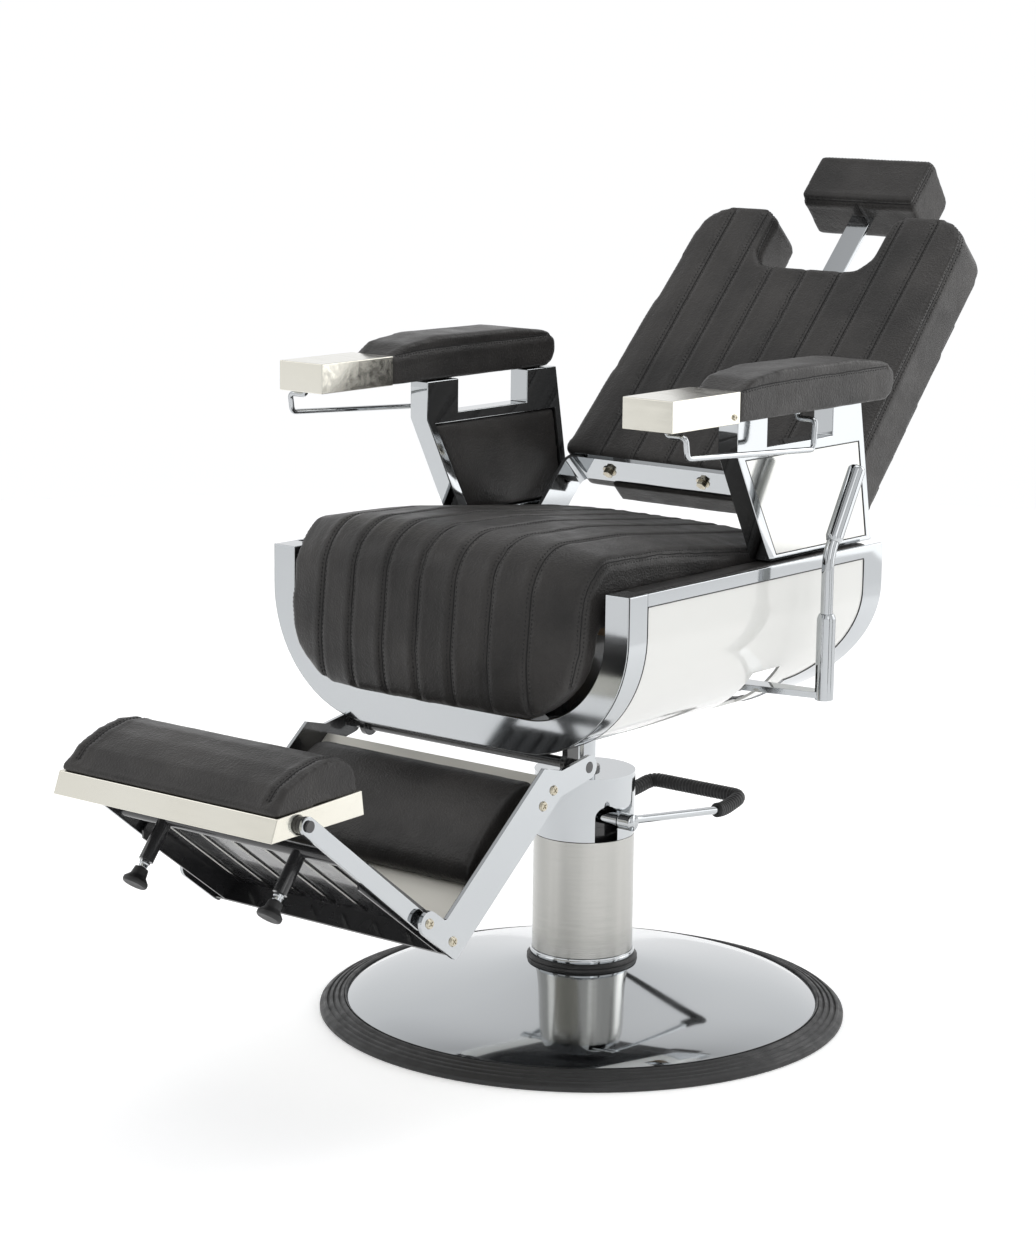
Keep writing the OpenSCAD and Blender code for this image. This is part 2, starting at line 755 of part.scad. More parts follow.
module support_feet() {
    color(black_rubber) in_arm() for (s = [-1, 1]) translate([s * post_x, post_y, -88])
        rotate_extrude($fn = 48)
            polygon([[0, 0], [14, 0], [15.5, 2], [15.5, 6], [10, 12], [8.5, 22], [0, 22]]);
}

// Spacer and pin at each end of the tray
module upper_pins() {
    color(black_steel) both_sides() {
        bar([tray_w, tray_y, tray_z], [arm_x0 + 7.6, tray_y, tray_z], pin_r, 32);
        bar([tray_w, tray_y, tray_z], [arm_x0 - 0.3, tray_y, tray_z], 10, 32);
        bar([arm_x0 + 5.3, tray_y, tray_z], [arm_x0 + 8, tray_y, tray_z], 7, 32);
    }
}

tray_outline = [[-786.8, 411], [-633.5, 415.7], [-637.5, 444.6], [-776.7, 437.5]];

// Polished surround of the footrest
module footrest_tray() {
    color("#ddd8cb") difference() {
        along_x(-tray_w, tray_w) polygon(tray_outline);
        along_x(2.5 - tray_w, tray_w - 2.5)
            polygon([[-783.6, 405], [-636.3, 405], [-639.6, 442], [-774.6, 435.1]]);
    }
}

// Board inside the surround
module tray_board() {
    color(black_steel) along_x(2.7 - tray_w, tray_w - 2.7)
        polygon([[-780.9, 413], [-637.9, 417.6], [-640, 441.6], [-774.2, 434.8]]);
}

module footrest_pad() {
    side = [[-772, 438.1], [-772, 448], [-755, 466], [-722, 480], [-690, 487], [-662, 485], [-645, 474], [-640, 460],
        [-641, 444.8]];
    color(black_leather) along_x(-168, 168) polygon(side);
}

// ---------- recline lever ----------

lever_pivot_y = 34;
lever_pivot_z = 468;

// Flat arm with the shaft that it turns on
module lever_arm() {
    color(chrome) {
        difference() {
            translate([0, 0, lever_pivot_z - 4]) linear_extrude(8)
                polygon([[196, 16], [lever_x - 2, lever_tube_y - 11], [lever_x - 2, lever_tube_y + 11], [196, 52]]);
            translate([lever_x, lever_tube_y, 0]) cylinder(h = 600, r = 12 + rod_fit, $fn = 64);
        }
        bar([112, lever_pivot_y, lever_pivot_z], [200, lever_pivot_y, lever_pivot_z], 7, 48);
    }
}

module lever_tube() {
    color(chrome) translate([lever_x, lever_tube_y, 0]) difference() {
        rotate_extrude($fn = 64) polygon([[0, 461], [11, 461], [12, 462], [12, 566], [9.4, 572], [0, 572]]);
        translate([0, 0, 540]) cylinder(h = 40, r = 8, $fn = 48);
    }
}

lever_bend = [lever_x, lever_tube_y, 646];
lever_dir = unit([0, 53, 92]);

module lever_rod() {
    route = rounded_route([[lever_x, lever_tube_y, 540], lever_bend, lever_bend + lever_dir * 100], 18, 6);
    color(chrome) swept(route, 7.9, [1, 0, 0], 16);
}

// Handle: a tube with a conical collar and a domed end
module lever_grip() {
    start = lever_bend + lever_dir * 19;
    color(chrome) translate(start) rotate([-atan2(lever_dir[1], lever_dir[2]), 0, 0]) difference() {
        rotate_extrude($fn = 64) polygon(concat([[0, 0], [9, 0], [11.5, 6], [11.5, 98]], arc(5.5, 98, 6, 0, 90, 6), [[0, 104]]));
        translate([0, 0, -1]) cylinder(h = 83, r = 8, $fn = 48);
    }
}

// Gas spring that balances the backrest; its rear pivot is left open
module recline_spring() {
    color("#2a2a2c") {
        bar([70, -150, 480], [70, 20, 496], 13, 48);
        bar([70, 19, 496], [70, 110, 504.5], 5, 32);
        translate([62, -164, 432.2]) cube([16, 20, 56]);
    }
}

base_plate();
base_dome();
base_ring();
column_gasket();
column_collar();
column_sleeve();
column_shroud();
pump_cylinder();
pump_head();
rod_gland();
base_bolts();
pump_lever();
pump_grip();
piston_rod();
seat_hub();
seat_mount();
seat_floor();
front_frame();
side_trims();
side_panels();
seat_board();
side_liners();
seat_cushion();
arm_frames();
arm_outer_panels();
arm_inner_panels();
arm_caps();
arm_pads();
towel_bars();
arm_screws();
back_pivots();
leg_hinges();
back_bracket();
back_bolts();
back_board();
back_cushion();
headrest_socket();
headrest_bar();
headrest_cushion();
leg_plates();
leg_panel();
calf_pad();
foot_platform();
platform_ribs();
leg_screws();
lower_pins();
footrest_arms();
cross_bar();
support_posts();
support_feet();
upper_pins();
footrest_tray();
tray_board();
footrest_pad();
lever_arm();
lever_tube();
lever_rod();
lever_grip();
recline_spring();
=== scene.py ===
"""Looks of a hydraulic barber chair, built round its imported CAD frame. Metres, +Z up; the sitter faces -Y."""

import json
import math

import bmesh
import bpy
import numpy as np
from mathutils import Matrix, Vector
from mathutils.bvhtree import BVHTree
from mathutils.kdtree import KDTree


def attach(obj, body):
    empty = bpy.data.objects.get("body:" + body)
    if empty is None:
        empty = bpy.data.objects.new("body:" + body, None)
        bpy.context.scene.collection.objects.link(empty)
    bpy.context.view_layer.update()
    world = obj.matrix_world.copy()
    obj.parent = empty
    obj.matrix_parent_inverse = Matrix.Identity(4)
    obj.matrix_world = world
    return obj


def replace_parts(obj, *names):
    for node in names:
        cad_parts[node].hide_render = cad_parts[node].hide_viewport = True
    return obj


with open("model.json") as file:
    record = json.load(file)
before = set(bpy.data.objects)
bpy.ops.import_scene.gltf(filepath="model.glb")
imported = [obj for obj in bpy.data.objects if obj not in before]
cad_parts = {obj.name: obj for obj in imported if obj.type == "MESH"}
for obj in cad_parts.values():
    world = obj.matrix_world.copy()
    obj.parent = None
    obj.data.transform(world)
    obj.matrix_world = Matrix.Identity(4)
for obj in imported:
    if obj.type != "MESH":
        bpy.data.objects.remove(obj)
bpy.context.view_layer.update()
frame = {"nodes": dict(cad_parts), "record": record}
nodes = frame["nodes"]
MM = 0.001


# ---------- stage, camera and light ----------

CAMERA_TARGET = Vector((-0.057, -0.074, 0.5275))
CAMERA_AZIMUTH = math.radians(38.9)
CAMERA_ELEVATION = math.radians(10.9)
CAMERA_ROLL = math.radians(0.7)
CAMERA_DISTANCE = 4.19
CAMERA_LENS = 92.8
FLOOR_RADIUS = 4.6
FLOOR_SIDES = 72
# The room: (height from straight down at 0 to straight up at 1, level), and dark strips (azimuth, width).
ROOM_LEVELS = [(0.0, 1.0), (0.2, 1.0), (0.5, 0.92), (0.68, 0.76), (0.8, 0.6), (0.95, 0.85)]
DARK_STRIPS = [(-118, 5), (-84, 9), (-20, 8), (38, 6)]
STRIP_LEVEL = 0.06
STRIP_EDGE = 1.5


def make_camera():
    """A long lens from the front right, as the object is seen."""
    data = bpy.data.cameras.new("camera")
    data.lens = CAMERA_LENS
    data.sensor_width = 36
    data.clip_end = 300
    camera = bpy.data.objects.new("camera", data)
    bpy.context.scene.collection.objects.link(camera)
    level = math.cos(CAMERA_ELEVATION)
    right, front = math.sin(CAMERA_AZIMUTH) * level, math.cos(CAMERA_AZIMUTH) * level
    back = Vector((right, -front, math.sin(CAMERA_ELEVATION)))
    place = Matrix.Translation(CAMERA_TARGET + back * CAMERA_DISTANCE)
    turn = back.to_track_quat("Z", "Y").to_matrix().to_4x4()
    camera.matrix_world = place @ turn @ Matrix.Rotation(CAMERA_ROLL, 4, "Z")
    bpy.context.scene.camera = camera


def area_light(name, place, aim, size, power):
    data = bpy.data.lights.new(name, "AREA")
    data.shape = "RECTANGLE"
    data.size, data.size_y = size
    data.energy = power
    light = bpy.data.objects.new(name, data)
    bpy.context.scene.collection.objects.link(light)
    direction = Vector(aim) - Vector(place)
    light.matrix_world = Matrix.Translation(place) @ direction.to_track_quat("-Z", "Y").to_matrix().to_4x4()


def flag(azimuth, width, distance=2.6, height=1.6):
    """A standing black card, seen only in reflections, that draws a dark line in the polished tubes."""
    turn = math.radians(azimuth)
    middle = Vector((math.cos(turn) * distance, math.sin(turn) * distance, 0))
    across = Vector((-math.sin(turn), math.cos(turn), 0)) * width / 2
    up = Vector((0, 0, height))
    mesh = bpy.data.meshes.new("flag")
    left, right = middle - across, middle + across
    mesh.from_pydata([left, right, right + up, left + up], [], [(0, 1, 2, 3)])
    card = bpy.data.objects.new("flag", mesh)
    bpy.context.scene.collection.objects.link(card)
    card.visible_camera = False
    mesh.materials.append(Shader("stage_black", (0.01, 0.01, 0.01), 0.9).material)


def make_stage():
    """A round white floor, soft boxes, cards, and a white room that darkens overhead."""
    mesh = bpy.data.meshes.new("floor")
    around = [2 * math.pi * k / FLOOR_SIDES for k in range(FLOOR_SIDES)]
    rim = [(FLOOR_RADIUS * math.cos(a), FLOOR_RADIUS * math.sin(a), 0) for a in around]
    mesh.from_pydata(rim, [], [tuple(range(FLOOR_SIDES))])
    floor = bpy.data.objects.new("floor", mesh)
    bpy.context.scene.collection.objects.link(floor)
    floor.data.materials.append(Shader("stage_paper", (0.93, 0.93, 0.93), 0.8).set(
        Emission_Color=(1, 1, 1, 1), Emission_Strength=0.34
    ).material)
    area_light("key", (-2.4, -2.6, 3.0), (0, 0, 0.6), (2.2, 1.4), 12)
    area_light("fill", (3.2, -1.4, 1.9), (0, 0, 0.6), (1.2, 2.0), 8)
    area_light("top", (0.3, 0.6, 3.8), (0, 0, 0.5), (2.8, 2.2), 24)
    area_light("rim", (1.4, 3.2, 2.4), (0, 0, 0.8), (1.8, 1.2), 15)
    area_light("side_card", (1.42, 1.76, 1.0), (0, 0, 0.95), (2.0, 1.4), 8)
    for azimuth, width in ((-111, 0.3), (-82, 0.16), (-14, 0.22), (23, 0.2), (78, 0.3), (-167, 0.35)):
        flag(azimuth, width)
    world = bpy.data.worlds.new("studio")
    bpy.context.scene.world = world
    world.use_nodes = True
    tree = world.node_tree
    links = tree.links

    def node(kind, **settings):
        made = tree.nodes.new("ShaderNode" + kind)
        for key, value in settings.items():
            setattr(made, key, value)
        return made

    coords = node("TexCoord")
    split = node("SeparateXYZ")
    links.new(coords.outputs["Generated"], split.inputs[0])
    ramp = node("ValToRGB")
    links.new(split.outputs["Z"], ramp.inputs[0])
    while len(ramp.color_ramp.elements) < len(ROOM_LEVELS):
        ramp.color_ramp.elements.new(0.5)
    for element, (place, level) in zip(ramp.color_ramp.elements, ROOM_LEVELS):
        element.position = place
        element.color = (level, level * 1.005, level * 1.015, 1)
    turn = node("Math", operation="ARCTAN2")
    links.new(split.outputs["Y"], turn.inputs[0])
    links.new(split.outputs["X"], turn.inputs[1])
    strips = node("ValToRGB")
    scaled = node("MapRange")
    scaled.inputs["From Min"].default_value = -math.pi
    scaled.inputs["From Max"].default_value = math.pi
    links.new(turn.outputs[0], scaled.inputs["Value"])
    links.new(scaled.outputs[0], strips.inputs[0])
    edges = []
    for middle, width in DARK_STRIPS:
        inner, outer = width / 2, width / 2 + STRIP_EDGE
        for offset, level in ((-outer, 1.0), (-inner, STRIP_LEVEL), (inner, STRIP_LEVEL), (outer, 1.0)):
            edges.append(((middle + offset + 180) / 360, level))
    while len(strips.color_ramp.elements) < len(edges):
        strips.color_ramp.elements.new(0.5)
    for element, (place, level) in zip(strips.color_ramp.elements, edges):
        element.position = place
        element.color = (level, level, level, 1)
    low = node("MapRange")
    low.inputs["From Min"].default_value = 0.03
    low.inputs["From Max"].default_value = 0.07
    links.new(split.outputs["Z"], low.inputs["Value"])
    mix = node("Mix", data_type="RGBA", blend_type="MULTIPLY")
    links.new(low.outputs[0], mix.inputs["Factor"])
    links.new(ramp.outputs[0], mix.inputs[6])
    links.new(strips.outputs[0], mix.inputs[7])
    background = tree.nodes["Background"]
    links.new(mix.outputs[2], background.inputs["Color"])
    background.inputs["Strength"].default_value = 1.0
    bpy.context.scene.view_settings.view_transform = "Standard"


# ---------- materials ----------


class Shader:
    """A Principled material with short ways to add noise, colour variation and bump."""

    def __init__(self, name, colour, roughness, metallic=0.0):
        self.material = bpy.data.materials.new(name)
        self.material.use_nodes = True
        self.tree = self.material.node_tree
        self.bsdf = self.tree.nodes["Principled BSDF"]
        self.bsdf.inputs["Base Color"].default_value = (*colour, 1)
        self.bsdf.inputs["Roughness"].default_value = roughness
        self.bsdf.inputs["Metallic"].default_value = metallic
        self.coords = self.tree.nodes.new("ShaderNodeTexCoord").outputs["Object"]
        self.normal = None

    def node(self, kind, inputs=(), **settings):
        made = self.tree.nodes.new("ShaderNode" + kind)
        for key, value in settings.items():
            setattr(made, key, value)
        for key, value in dict(inputs).items():
            if isinstance(value, bpy.types.NodeSocket):
                self.tree.links.new(value, made.inputs[key])
            else:
                made.inputs[key].default_value = value
        return made

    def noise(self, scale, detail=3.0, stretch=(1, 1, 1)):
        at = self.node("Mapping", {"Vector": self.coords, "Scale": stretch}).outputs[0]
        return self.node("TexNoise", {"Vector": at, "Scale": scale, "Detail": detail}).outputs["Fac"]

    def cells(self, scale, feature):
        made = self.node("TexVoronoi", {"Vector": self.coords, "Scale": scale}, feature=feature)
        return made.outputs["Distance"]

    def remap(self, value, low, high, source=(0.3, 0.7)):
        return self.node(
            "MapRange",
            {"Value": value, "From Min": source[0], "From Max": source[1], "To Min": low, "To Max": high},
        ).outputs[0]

    def vary_colour(self, factor, first, second):
        mix = self.node("Mix", {"Factor": factor}, data_type="RGBA")
        mix.inputs[6].default_value = (*first, 1)
        mix.inputs[7].default_value = (*second, 1)
        self.tree.links.new(mix.outputs[2], self.bsdf.inputs["Base Color"])

    def vary_roughness(self, factor, low, high):
        self.tree.links.new(self.remap(factor, low, high), self.bsdf.inputs["Roughness"])

    def bump(self, height, strength, distance):
        made = self.node("Bump", {"Height": height, "Strength": strength, "Distance": distance})
        if self.normal:
            self.tree.links.new(self.normal, made.inputs["Normal"])
        self.normal = made.outputs[0]
        self.tree.links.new(self.normal, self.bsdf.inputs["Normal"])

    def set(self, **sockets):
        for key, value in sockets.items():
            self.bsdf.inputs[key.replace("_", " ")].default_value = value
        return self


def chrome_material():
    """Plated steel: a mirror with the faint waves and haze of plating."""
    shader = Shader("chrome", (0.48, 0.50, 0.515), 0.05, 1.0)
    shader.vary_roughness(shader.noise(9, 4), 0.035, 0.085)
    shader.vary_colour(shader.noise(4, 2), (0.46, 0.48, 0.495), (0.52, 0.535, 0.545))
    shader.bump(shader.noise(5, 1), 0.25, 0.0009)
    return shader.material


def polished_material():
    shader = Shader("polished_steel", (0.56, 0.56, 0.54), 0.07, 1.0)
    shader.vary_roughness(shader.noise(14, 4), 0.05, 0.11)
    shader.vary_colour(shader.noise(3, 2), (0.53, 0.53, 0.505), (0.60, 0.60, 0.58))
    shader.bump(shader.noise(3.5, 1), 0.2, 0.0008)
    return shader.material


def warm_material():
    """Warm polished stainless of the arm caps and the footrest's surround."""
    shader = Shader("warm_steel", (0.70, 0.68, 0.60), 0.12, 1.0)
    shader.vary_roughness(shader.noise(20, 5, (1, 6, 6)), 0.10, 0.20)
    shader.vary_colour(shader.noise(5, 2), (0.68, 0.655, 0.57), (0.78, 0.765, 0.70))
    shader.bump(shader.noise(260, 2, (0.15, 1, 1)), 0.12, 0.0002)
    return shader.material


def satin_material():
    """Turned steel, with fine lines round the column."""
    shader = Shader("satin_steel", (0.46, 0.455, 0.43), 0.2, 1.0)
    shader.vary_roughness(shader.noise(90, 3, (0.2, 0.2, 6)), 0.15, 0.27)
    # The vertical light and dark streaks in this colour are a painted reflection of the room in the column.
    shader.vary_colour(shader.noise(26, 3, (1, 1, 0.03)), (0.30, 0.30, 0.285), (0.56, 0.555, 0.53))
    shader.bump(shader.noise(320, 2, (0.05, 0.05, 4)), 0.15, 0.0002)
    return shader.material


def leather_material():
    """Black vinyl leather: fine pebbled grain, soft creases and uneven sheen."""
    dark, light = (0.0185, 0.0177, 0.0172), (0.0470, 0.0440, 0.0418)
    shader = Shader("black_leather", dark, 0.42)
    shader.vary_colour(shader.remap(shader.noise(9, 6), 0, 1), dark, light)
    shader.vary_roughness(shader.noise(38, 5), 0.33, 0.47)
    shader.bump(shader.noise(30, 5), 0.25, 0.0018)
    shader.bump(shader.noise(170, 4), 0.4, 0.0011)
    shader.bump(shader.cells(430, "SMOOTH_F1"), 0.55, 0.0009)
    shader.bump(shader.noise(1400, 3), 0.2, 0.0003)
    return shader.set(Specular_IOR_Level=0.26).material


def rubber_material():
    shader = Shader("black_rubber", (0.012, 0.012, 0.0125), 0.5)
    shader.vary_roughness(shader.noise(60, 4), 0.38, 0.60)
    shader.vary_colour(shader.noise(18, 4), (0.010, 0.010, 0.0105), (0.022, 0.022, 0.022))
    shader.bump(shader.noise(700, 3), 0.25, 0.0003)
    return shader.material


def paint_material():
    shader = Shader("black_metal", (0.010, 0.010, 0.011), 0.22)
    shader.vary_roughness(shader.noise(30, 4), 0.16, 0.32)
    shader.vary_colour(shader.noise(12, 3), (0.009, 0.009, 0.010), (0.020, 0.020, 0.021))
    shader.bump(shader.noise(420, 2), 0.05, 0.0001)
    return shader.set(Coat_Weight=0.6, Coat_Roughness=0.06).material


def iron_material():
    shader = Shader("cast_iron", (0.05, 0.05, 0.052), 0.6, 0.6)
    shader.vary_roughness(shader.noise(40, 4), 0.5, 0.75)
    shader.vary_colour(shader.noise(16, 4), (0.035, 0.035, 0.037), (0.08, 0.078, 0.075))
    shader.bump(shader.noise(260, 4), 0.5, 0.0008)
    return shader.material


def ivory_material():
    """Glossy off-white side panels."""
    shader = Shader("ivory_panel", (0.70, 0.70, 0.67), 0.1)
    shader.vary_colour(shader.noise(3, 3), (0.68, 0.68, 0.65), (0.74, 0.74, 0.715))
    shader.vary_roughness(shader.noise(8, 3), 0.07, 0.14)
    shader.bump(shader.noise(4, 2), 0.15, 0.001)
    return shader.set(Coat_Weight=0.6, Coat_Roughness=0.04).material


def apron_material():
    """Pale brushed steel of the panel under the calf pad."""
    shader = Shader("apron_steel", (0.74, 0.72, 0.65), 0.45, 0.35)
    shader.vary_roughness(shader.noise(20, 5, (1, 6, 6)), 0.38, 0.52)
    shader.vary_colour(shader.noise(5, 2), (0.70, 0.68, 0.61), (0.80, 0.78, 0.72))
    shader.bump(shader.noise(260, 2, (0.15, 1, 1)), 0.12, 0.0002)
    return shader.material


def zinc_material():
    shader = Shader("screw_zinc", (0.50, 0.46, 0.36), 0.28, 1.0)
    shader.vary_roughness(shader.noise(120, 4), 0.2, 0.38)
    shader.vary_colour(shader.noise(80, 3), (0.42, 0.38, 0.29), (0.62, 0.58, 0.48))
    shader.bump(shader.noise(900, 2), 0.15, 0.0002)
    return shader.material


def plywood_material():
    shader = Shader("plywood", (0.42, 0.30, 0.18), 0.7)
    shader.vary_colour(shader.noise(30, 5, (1, 0.15, 12)), (0.32, 0.22, 0.12), (0.52, 0.38, 0.24))
    shader.bump(shader.noise(200, 4, (1, 0.1, 4)), 0.4, 0.0006)
    return shader.material


def thread_material():
    shader = Shader("thread", (0.005, 0.005, 0.005), 0.6)
    shader.vary_colour(shader.noise(400, 2), (0.003, 0.003, 0.003), (0.008, 0.008, 0.008))
    shader.bump(shader.noise(4000, 2), 0.4, 0.0002)
    return shader.material


def seam_shade_material():
    """Painted shadow for the fold where two panels meet: near-black bars laid in the crease."""
    shader = Shader("seam_painted_shade", (0.003, 0.003, 0.003), 0.75)
    shader.vary_colour(shader.noise(200, 2), (0.002, 0.002, 0.002), (0.005, 0.005, 0.005))
    shader.bump(shader.noise(900, 2), 0.3, 0.0003)
    return shader.material


MATERIALS = {
    "chrome": chrome_material(),
    "polished_steel": polished_material(),
    "warm_steel": warm_material(),
    "satin_steel": satin_material(),
    "black_leather": leather_material(),
    "black_rubber": rubber_material(),
    "black_metal": paint_material(),
    "cast_iron": iron_material(),
    "ivory_panel": ivory_material(),
    "screw_zinc": zinc_material(),
    "plywood": plywood_material(),
}
THREAD = thread_material()
# Near-black painted shadow for the seams' folds.
SEAM_SHADE = seam_shade_material()

SLOT_OF = {part["node"]: part["material_slot"] for part in frame["record"]["subparts"]}
BODY_OF = {n: body for body, members in frame["record"]["behaviour"]["bodies"].items() for n in members}


# ---------- mesh helpers ----------


def piece(name, mesh, node, material=None, slot=None):
    """A new piece that rides with a CAD node's body and takes its slot."""
    obj = bpy.data.objects.new(name, mesh)
    bpy.context.scene.collection.objects.link(obj)
    slot = slot or SLOT_OF[node]
    mesh.materials.clear()
    mesh.materials.append(material or MATERIALS[slot])
    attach(obj, BODY_OF[node])
    return obj


def mesh_from(name, points, faces, smooth=True):
    mesh = bpy.data.meshes.new(name)
    mesh.from_pydata([tuple(p) for p in points], [], faces)
    mesh.update()
    for polygon in mesh.polygons:
        polygon.use_smooth = smooth
    return mesh


def coords_of(mesh):
    flat = np.empty(len(mesh.vertices) * 3)
    mesh.vertices.foreach_get("co", flat)
    return flat.reshape(-1, 3)


def normals_of(mesh):
    flat = np.empty(len(mesh.vertices) * 3)
    mesh.vertices.foreach_get("normal", flat)
    return flat.reshape(-1, 3)


def put_coords(mesh, points):
    mesh.vertices.foreach_set("co", np.ascontiguousarray(points, float).ravel())
    mesh.update()


def applied(obj):
    """The object's mesh with its modifiers applied, as a new mesh."""
    bpy.context.view_layer.update()
    ready = obj.evaluated_get(bpy.context.evaluated_depsgraph_get())
    return bpy.data.meshes.new_from_object(ready)


def with_modifier(mesh, kind, **settings):
    """A mesh after one modifier."""
    obj = bpy.data.objects.new("work", mesh)
    bpy.context.scene.collection.objects.link(obj)
    modifier = obj.modifiers.new("work", kind)
    for key, value in settings.items():
        setattr(modifier, key, value)
    out = applied(obj)
    bpy.data.objects.remove(obj)
    return out


def welded(node):
    """A CAD node's mesh with its split vertices joined and its flat triangles merged."""
    mesh = bpy.data.meshes.new(node + "_clean")
    work = bmesh.new()
    work.from_mesh(nodes[node].data)
    bmesh.ops.remove_doubles(work, verts=work.verts, dist=0.00002)
    bmesh.ops.dissolve_limit(work, angle_limit=0.01, verts=work.verts, edges=work.edges)
    work.to_mesh(mesh)
    work.free()
    return mesh


def bevelled(node, width, segments=2, angle=32):
    """A metal piece made from its CAD node, with edges broken by a small radius to catch the light."""
    mesh = with_modifier(
        welded(node),
        "BEVEL",
        width=width * MM,
        segments=segments,
        limit_method="ANGLE",
        angle_limit=math.radians(angle),
        use_clamp_overlap=True,
        harden_normals=False,
    )
    for polygon in mesh.polygons:
        polygon.use_smooth = True
    mesh.set_sharp_from_angle(angle=math.radians(38))
    mesh = with_modifier(mesh, "WEIGHTED_NORMAL", keep_sharp=True, weight=60)
    obj = piece(node + "_finished", mesh, node)
    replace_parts(obj, node)
    return obj


def ring_faces(rings, sides, start=0, closed=False):
    """Quads that join rings of points, each to the next and, if closed, the last to the first."""
    lower = [start + i * sides for i in range(rings)]
    upper = lower[1:] + lower[:1]
    pairs = list(zip(lower, upper))
    return [
        (a + k, a + (k + 1) % sides, b + (k + 1) % sides, b + k)
        for a, b in (pairs if closed else pairs[:-1])
        for k in range(sides)
    ]


def sweep(route, radius, sides=20, ribs=None):
    """Points and faces of a round bar along a route; ribs gives each ring's own radius."""
    route = [Vector(p) for p in route]
    count = len(route)
    points = []
    tangent = (route[1] - route[0]).normalized()
    side = tangent.orthogonal().normalized()
    for i, place in enumerate(route):
        ahead = (route[min(i + 1, count - 1)] - route[max(i - 1, 0)]).normalized()
        side = (side - ahead * side.dot(ahead)).normalized()
        up = ahead.cross(side)
        r = ribs[i] if ribs is not None else radius
        for k in range(sides):
            turn = 2 * math.pi * k / sides
            points.append(place + (side * math.cos(turn) + up * math.sin(turn)) * r)
    faces = ring_faces(count, sides)
    faces.append(tuple(range(sides - 1, -1, -1)))
    faces.append(tuple((count - 1) * sides + k for k in range(sides)))
    return points, faces


def round_route(corners, radius, steps=8):
    """A route through corners, each inner one turned with a smooth bend."""
    corners = [Vector(c) for c in corners]
    route = [corners[0]]
    for before, corner, after in zip(corners, corners[1:], corners[2:]):
        a = corner + (before - corner).normalized() * radius
        b = corner + (after - corner).normalized() * radius
        for k in range(steps + 1):
            t = k / steps
            route.append(a * (1 - t) ** 2 + corner * (2 * t * (1 - t)) + b * t * t)
    route.append(corners[-1])
    return route


def even_route(route, step):
    """The same route with points a step apart."""
    points = np.array([tuple(p) for p in route], float)
    lengths = np.concatenate([[0], np.cumsum(np.linalg.norm(np.diff(points, axis=0), axis=1))])
    count = max(2, int(round(lengths[-1] / step)) + 1)
    at = np.linspace(0, lengths[-1], count)
    return np.stack([np.interp(at, lengths, points[:, k]) for k in range(3)], 1)


def joined(parts):
    """Several (points, faces) as one."""
    points, faces = [], []
    for more_points, more_faces in parts:
        start = len(points)
        points.extend(more_points)
        faces.extend([tuple(start + i for i in f) for f in more_faces])
    return points, faces


# ---------- upholstery ----------


def bell(distance, width):
    return np.exp(-((distance / width) ** 2))


def soft_mesh(node, voxel, rounds):
    """A CAD soft solid as an even, closed mesh with rounded edges."""
    mesh = with_modifier(welded(node), "REMESH", mode="VOXEL", voxel_size=voxel * MM)
    return with_modifier(mesh, "SMOOTH", factor=0.5, iterations=rounds)


def subdivided(mesh):
    return with_modifier(mesh, "SUBSURF", levels=1, render_levels=1)


def surface_tree(mesh):
    points = [v.co.copy() for v in mesh.vertices]
    return BVHTree.FromPolygons(points, [tuple(p.vertices) for p in mesh.polygons])


def thread_of(route, length=3.6, gap=2.0, thick=0.72):
    """Points and faces of short threads laid end to end along a route of (points, normals)."""
    places, normals = route
    steps = np.concatenate([[0], np.cumsum(np.linalg.norm(np.diff(places, axis=0), axis=1))])
    rings, sides = 3, 5
    turns = np.arange(sides) * 2 * math.pi / sides
    parts = []
    for start in np.arange(0, steps[-1] - length * MM, (length + gap) * MM):
        ends = (start, start + length * MM)
        a, b = (np.array([np.interp(e, steps, places[:, k]) for k in range(3)]) for e in ends)
        up = np.array([np.interp(start, steps, normals[:, k]) for k in range(3)])
        along = b - a
        size = np.linalg.norm(along)
        if size < 1e-6:
            continue
        along /= size
        up -= along * up.dot(along)
        up /= max(np.linalg.norm(up), 1e-9)
        side = np.cross(along, up)
        points = [a - up * 0.8 * thick * MM]
        for i in range(rings):
            t = (i + 0.6) / (rings + 0.2)
            arch = math.sin(math.pi * t)
            centre = a + along * t * size + up * (arch * 0.55 - 0.35) * thick * MM
            r = thick * MM * (0.5 + 0.5 * arch)
            points += [centre + (side * math.cos(turn) + up * math.sin(turn)) * r for turn in turns]
        points.append(b - up * 0.8 * thick * MM)
        faces = [(0, 1 + (k + 1) % sides, 1 + k) for k in range(sides)]
        faces += ring_faces(rings, sides, start=1)
        first, last = 1 + (rings - 1) * sides, len(points) - 1
        faces += [(first + k, first + (k + 1) % sides, last) for k in range(sides)]
        parts.append((points, faces))
    return joined(parts)


def cast_paths(tree, rays, axes, step=2.0, longest_gap=14.0):
    """Paths on a surface where rays, in local millimetres, meet it; a long gap starts another path."""
    runs, run = [], []
    for start, direction in rays:
        hit, _, _, _ = tree.ray_cast(Vector(axes.world(start)), Vector(axes.world_direction(direction)))
        if hit is None or (run and (hit - run[-1]).length > longest_gap * MM):
            runs.append(run)
            run = []
        if hit is not None:
            run.append(hit)
    runs.append(run)
    paths = []
    for run in runs:
        if len(run) > 4:
            points = np.array([tuple(p) for p in run])
            for _ in range(2):
                points[1:-1] = (points[:-2] + 2 * points[1:-1] + points[2:]) / 4
            paths.append(even_route(points, step * MM))
    return paths


